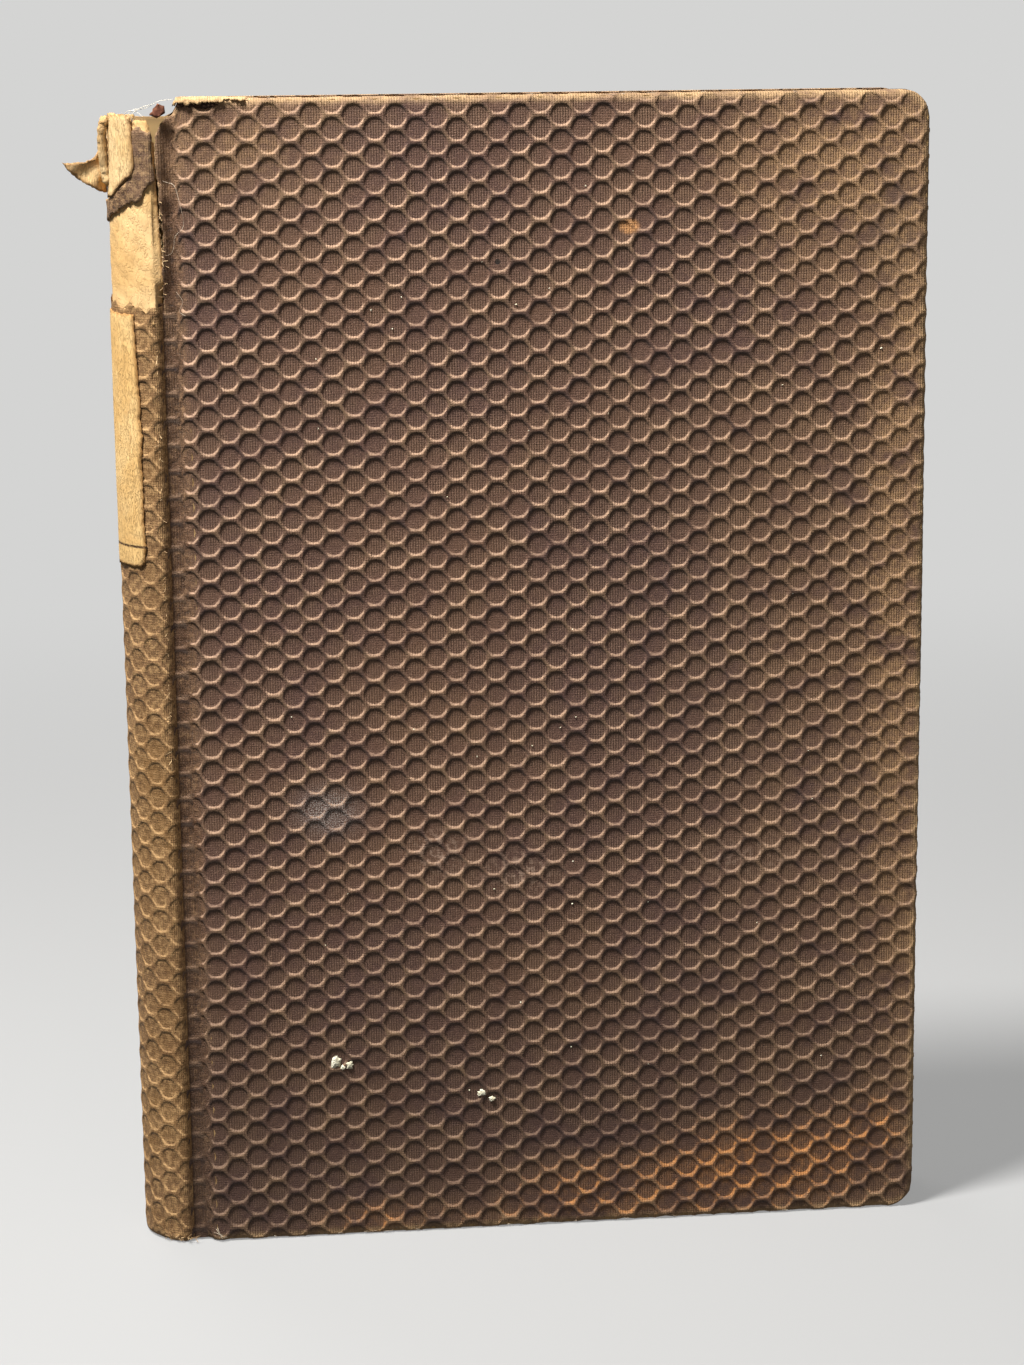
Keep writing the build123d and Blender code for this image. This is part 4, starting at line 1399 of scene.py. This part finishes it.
def floor_and_backdrop(scene):
    """A pale sheet that sweeps up behind the book. Places are metres."""
    profile = [(-2.6, 0.0), (0.7, 0.0)]
    for a in np.radians(np.linspace(0, 90, 14)):
        profile.append((0.7 + 0.4 * math.sin(a), 0.4 - 0.4 * math.cos(a)))
    profile.append((1.1, 2.4))
    places = [(x, y, z) for y, z in profile for x in (-2.2, 2.2)]
    faces = [(2 * i, 2 * i + 1, 2 * i + 3, 2 * i + 2) for i in range(len(profile) - 1)]
    mesh = bpy.data.meshes.new("floor")
    mesh.from_pydata(places, [], faces)
    mesh.polygons.foreach_set("use_smooth", [True] * len(faces))
    floor_material, g, shader = new_material("floor")
    where = g.node("ShaderNodeTexCoord", {}, output="Object")
    seen = seen_share(g)
    base = g.mix(seen, colour(66, 66, 66), colour(172, 171, 169))
    finish_material(g, shader, base, 0.9, None, specular=0.05)
    glow = g.node("ShaderNodeEmission", {}, {"Color": colour(212, 212, 211), "Strength": 1.0})
    out = next(n for n in floor_material.node_tree.nodes if n.type == "OUTPUT_MATERIAL")
    _, depth, _ = g.split(where)
    share = seen * (depth.ramp(0.1, 0.6) * 0.55 + 0.45)
    both = g.node("ShaderNodeMixShader", {}, [share, Value(g, shader.outputs[0]), glow])
    floor_material.node_tree.links.new(both.socket, out.inputs["Surface"])
    mesh.materials.append(floor_material)
    floor = bpy.data.objects.new("floor", mesh)
    scene.collection.objects.link(floor)


def studio_world(scene, fill):
    """Pale where it is seen, and a dim even light everywhere else."""
    world = bpy.data.worlds.new("studio")
    scene.world = world
    world.use_nodes = True
    sky = Graph(world.node_tree)
    seen = seen_share(sky)
    background = world.node_tree.nodes["Background"]
    tone = sky.mix(seen, (0.95, 0.97, 1.0, 1.0), colour(212, 212, 211))
    strength = seen * (1.0 - fill) + fill
    world.node_tree.links.new(tone.socket, background.inputs["Color"])
    world.node_tree.links.new(strength.socket, background.inputs["Strength"])


def lamps(scene, settings):
    """A small lamp above, a wide one in front and one behind, all aimed at the book's middle."""
    aim = Vector((0.0, 0.0, 0.095))
    for name, place, size, power in (
        ("key_lamp", (-0.26, -0.19, 0.70), 0.16, settings.key_power),
        ("front_lamp", (0.5, -1.2, 0.55), 1.0, settings.front_power),
        ("back_lamp", (-0.35, 0.75, 0.8), 0.6, settings.front_power * 1.6),
    ):
        data = bpy.data.lights.new(name, "AREA")
        data.shape, data.size, data.energy = "DISK", size, power
        lamp = bpy.data.objects.new(name, data)
        lamp.location = place
        lamp.visible_camera = False
        lamp.rotation_euler = (aim - Vector(place)).to_track_quat("-Z", "Y").to_euler()
        scene.collection.objects.link(lamp)


def camera(scene):
    """Level with the head of the book, out from its front joint, and looking slightly down."""
    data = bpy.data.cameras.new("camera")
    data.sensor_width, data.lens = 36.0, 80.07
    data.clip_start, data.clip_end = 0.02, 20.0
    piece = bpy.data.objects.new("camera", data)
    eye = Vector(((HINGE_X + SPINE_CENTRE + 1.9) * MM, (-HALF - 480.6) * MM, 0.196))
    look = Vector((0.1033, 0.973, -0.2065)).normalized()
    side = look.cross(Vector((0.0332, 0.2041, 0.9784))).normalized()
    up = side.cross(look)
    rotation = [[side[i], up[i], -look[i]] for i in range(3)]
    piece.matrix_world = Matrix.Translation(eye) @ Matrix(rotation).to_4x4()
    scene.collection.objects.link(piece)
    scene.camera = piece


def stage(settings):
    """Pale floor and backdrop, soft lamps and the camera."""
    scene = bpy.context.scene
    scene.view_settings.view_transform = "Standard"
    floor_and_backdrop(scene)
    studio_world(scene, settings.fill)
    lamps(scene, settings)
    camera(scene)


# ---------------------------------------------------------------- the add-on

class ClothSettings(bpy.types.PropertyGroup):
    """The embossed cloth. Lengths are millimetres on the flat cloth."""
    column_spacing: bpy.props.FloatProperty(
        name="Column Spacing", description="Distance between columns of cells", default=3.29, min=1)
    row_spacing: bpy.props.FloatProperty(
        name="Row Spacing", description="Distance between cells in a column", default=4.12, min=1)
    depth: bpy.props.FloatProperty(
        name="Depth", description="How deep the floors lie below the ridges", default=0.22, min=0)
    waviness: bpy.props.FloatProperty(
        name="Waviness", description="How far the pattern wanders", default=0.22, min=0)
    wear: bpy.props.FloatProperty(
        name="Wear", description="How unevenly the ridges are worn down", default=0.6, min=0, max=1)
    tilt: bpy.props.FloatProperty(
        name="Tilt", description="Turn of the pattern on the cover, in degrees", default=1.1)
    seed: bpy.props.IntProperty(name="Seed", description="Picks the unevenness", default=4)


class PaperSettings(bpy.types.PropertyGroup):
    """The pages, and the torn paper and loose threads."""
    leaves: bpy.props.IntProperty(
        name="Layers", description="Layers that the pages are drawn with", default=90, min=10)
    seed: bpy.props.IntProperty(name="Seed", description="Picks the unevenness", default=7)


class StudioSettings(bpy.types.PropertyGroup):
    """Lamps and fill light."""
    key_power: bpy.props.FloatProperty(
        name="Key Lamp", description="Power of the lamp above", default=11.6, unit="POWER")
    front_power: bpy.props.FloatProperty(
        name="Front Lamp", description="Power of the wide front lamp", default=1.8, unit="POWER")
    fill: bpy.props.FloatProperty(
        name="Fill", description="Strength of the even light all round", default=0.10, min=0)


class HARDBACK_OT_covers(bpy.types.Operator):
    """Builds the embossed cloth of both covers, and the cloth turned in behind them"""
    bl_idname = "hardback.covers"
    bl_label = "Cover Cloth"

    def execute(self, context):
        settings = context.scene.hardback_cloth
        cover_cloth(settings, -1, "front_cover", "front_cover_cloth", settings.seed)
        cover_cloth(settings, 1, "back_cover", "back_cover_cloth", settings.seed + 1)
        turn_in(-1, "front_turn_in", "front_cover")
        turn_in(1, "back_turn_in", "back_cover")
        return {"FINISHED"}


class HARDBACK_OT_spine(bpy.types.Operator):
    """Builds the spine cloth and the joint cloth"""
    bl_idname = "hardback.spine"
    bl_label = "Spine and Joints"

    def execute(self, context):
        settings = context.scene.hardback_cloth
        spine_cloth(settings, settings.seed + 2)
        for side, part in ((-1, "front"), (1, "back")):
            joint_strip(side, f"{part}_joint_cloth", settings)
            head_joint(side, f"{part}_head_joint", f"{part}_cover")
        return {"FINISHED"}


class HARDBACK_OT_pages(bpy.types.Operator):
    """Builds the text block, the endpapers and the finishes of the pieces inside the case"""
    bl_idname = "hardback.pages"
    bl_label = "Pages and Endpapers"

    def execute(self, context):
        settings = context.scene.hardback_paper
        text_block(settings)
        for side, part in ((-1, "front"), (1, "back")):
            paper_leaf(f"{part}_pastedown_look", f"{part}_pastedown", side, -1, f"{part}_cover", 2 + side)
            paper_leaf(f"{part}_flyleaf_look", f"{part}_flyleaf", side, 1, "book_block", 6 + side)
            endpaper_joint(side, f"{part}_endpaper_fold")
        finishes = {
            "board": ("front_board", "back_board"),
            "super": ("front_super_wing", "back_super_wing", "spine_super"),
            "card": ("spine_paper_lining",),
            "cord": ("sewing_cord_tail", "sewing_cord_middle", "sewing_cord_head"),
        }
        for key, nodes in finishes.items():
            for node in nodes:
                data = frame["nodes"][node].data
                data.materials.clear()
                data.materials.append(material(key))
        return {"FINISHED"}


class HARDBACK_OT_torn_head(bpy.types.Operator):
    """Builds the bare spine, its scraps, the curled paper and the label"""
    bl_idname = "hardback.torn_head"
    bl_label = "Torn Head and Label"

    def execute(self, context):
        settings = context.scene.hardback_paper
        bare_spine()
        head_scraps()
        lining_curl(settings)
        worn_head_edge()
        label()
        return {"FINISHED"}


class HARDBACK_OT_wear(bpy.types.Operator):
    """Adds loose threads, frayed edges and dried specks"""
    bl_idname = "hardback.wear"
    bl_label = "Threads and Specks"

    def execute(self, context):
        settings = context.scene.hardback_paper
        loose_threads(settings)
        chips(settings)
        return {"FINISHED"}


class HARDBACK_OT_stage(bpy.types.Operator):
    """Builds the floor, the lamps and the camera"""
    bl_idname = "hardback.stage"
    bl_label = "Stage"

    def execute(self, context):
        stage(context.scene.hardback_studio)
        return {"FINISHED"}


class HARDBACK_PT_panel(bpy.types.Panel):
    """The book's settings and build steps"""
    bl_idname = "HARDBACK_PT_panel"
    bl_label = "Hardback"
    bl_space_type = "VIEW_3D"
    bl_region_type = "UI"
    bl_category = "Hardback"

    def draw(self, context):
        scene = context.scene
        for group in (scene.hardback_cloth, scene.hardback_paper, scene.hardback_studio):
            box = self.layout.box()
            for key in group.__annotations__:
                box.prop(group, key)
        for operator in STEPS:
            self.layout.operator(operator.bl_idname)


STEPS = (
    HARDBACK_OT_covers, HARDBACK_OT_spine, HARDBACK_OT_pages, HARDBACK_OT_torn_head, HARDBACK_OT_wear,
    HARDBACK_OT_stage,
)
CLASSES = (ClothSettings, PaperSettings, StudioSettings, *STEPS, HARDBACK_PT_panel)


def register():
    """Adds the classes and the scene's settings."""
    for c in CLASSES:
        bpy.utils.register_class(c)
    bpy.types.Scene.hardback_cloth = bpy.props.PointerProperty(type=ClothSettings)
    bpy.types.Scene.hardback_paper = bpy.props.PointerProperty(type=PaperSettings)
    bpy.types.Scene.hardback_studio = bpy.props.PointerProperty(type=StudioSettings)


def unregister():
    """Takes them away again."""
    for name in ("hardback_cloth", "hardback_paper", "hardback_studio"):
        delattr(bpy.types.Scene, name)
    for c in reversed(CLASSES):
        bpy.utils.unregister_class(c)


def main():
    """Builds every piece and the stage."""
    register()
    for step in (
        bpy.ops.hardback.covers, bpy.ops.hardback.spine, bpy.ops.hardback.pages, bpy.ops.hardback.torn_head,
        bpy.ops.hardback.wear, bpy.ops.hardback.stage,
    ):
        step()
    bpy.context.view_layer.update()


if __name__ == "__main__":
    main()
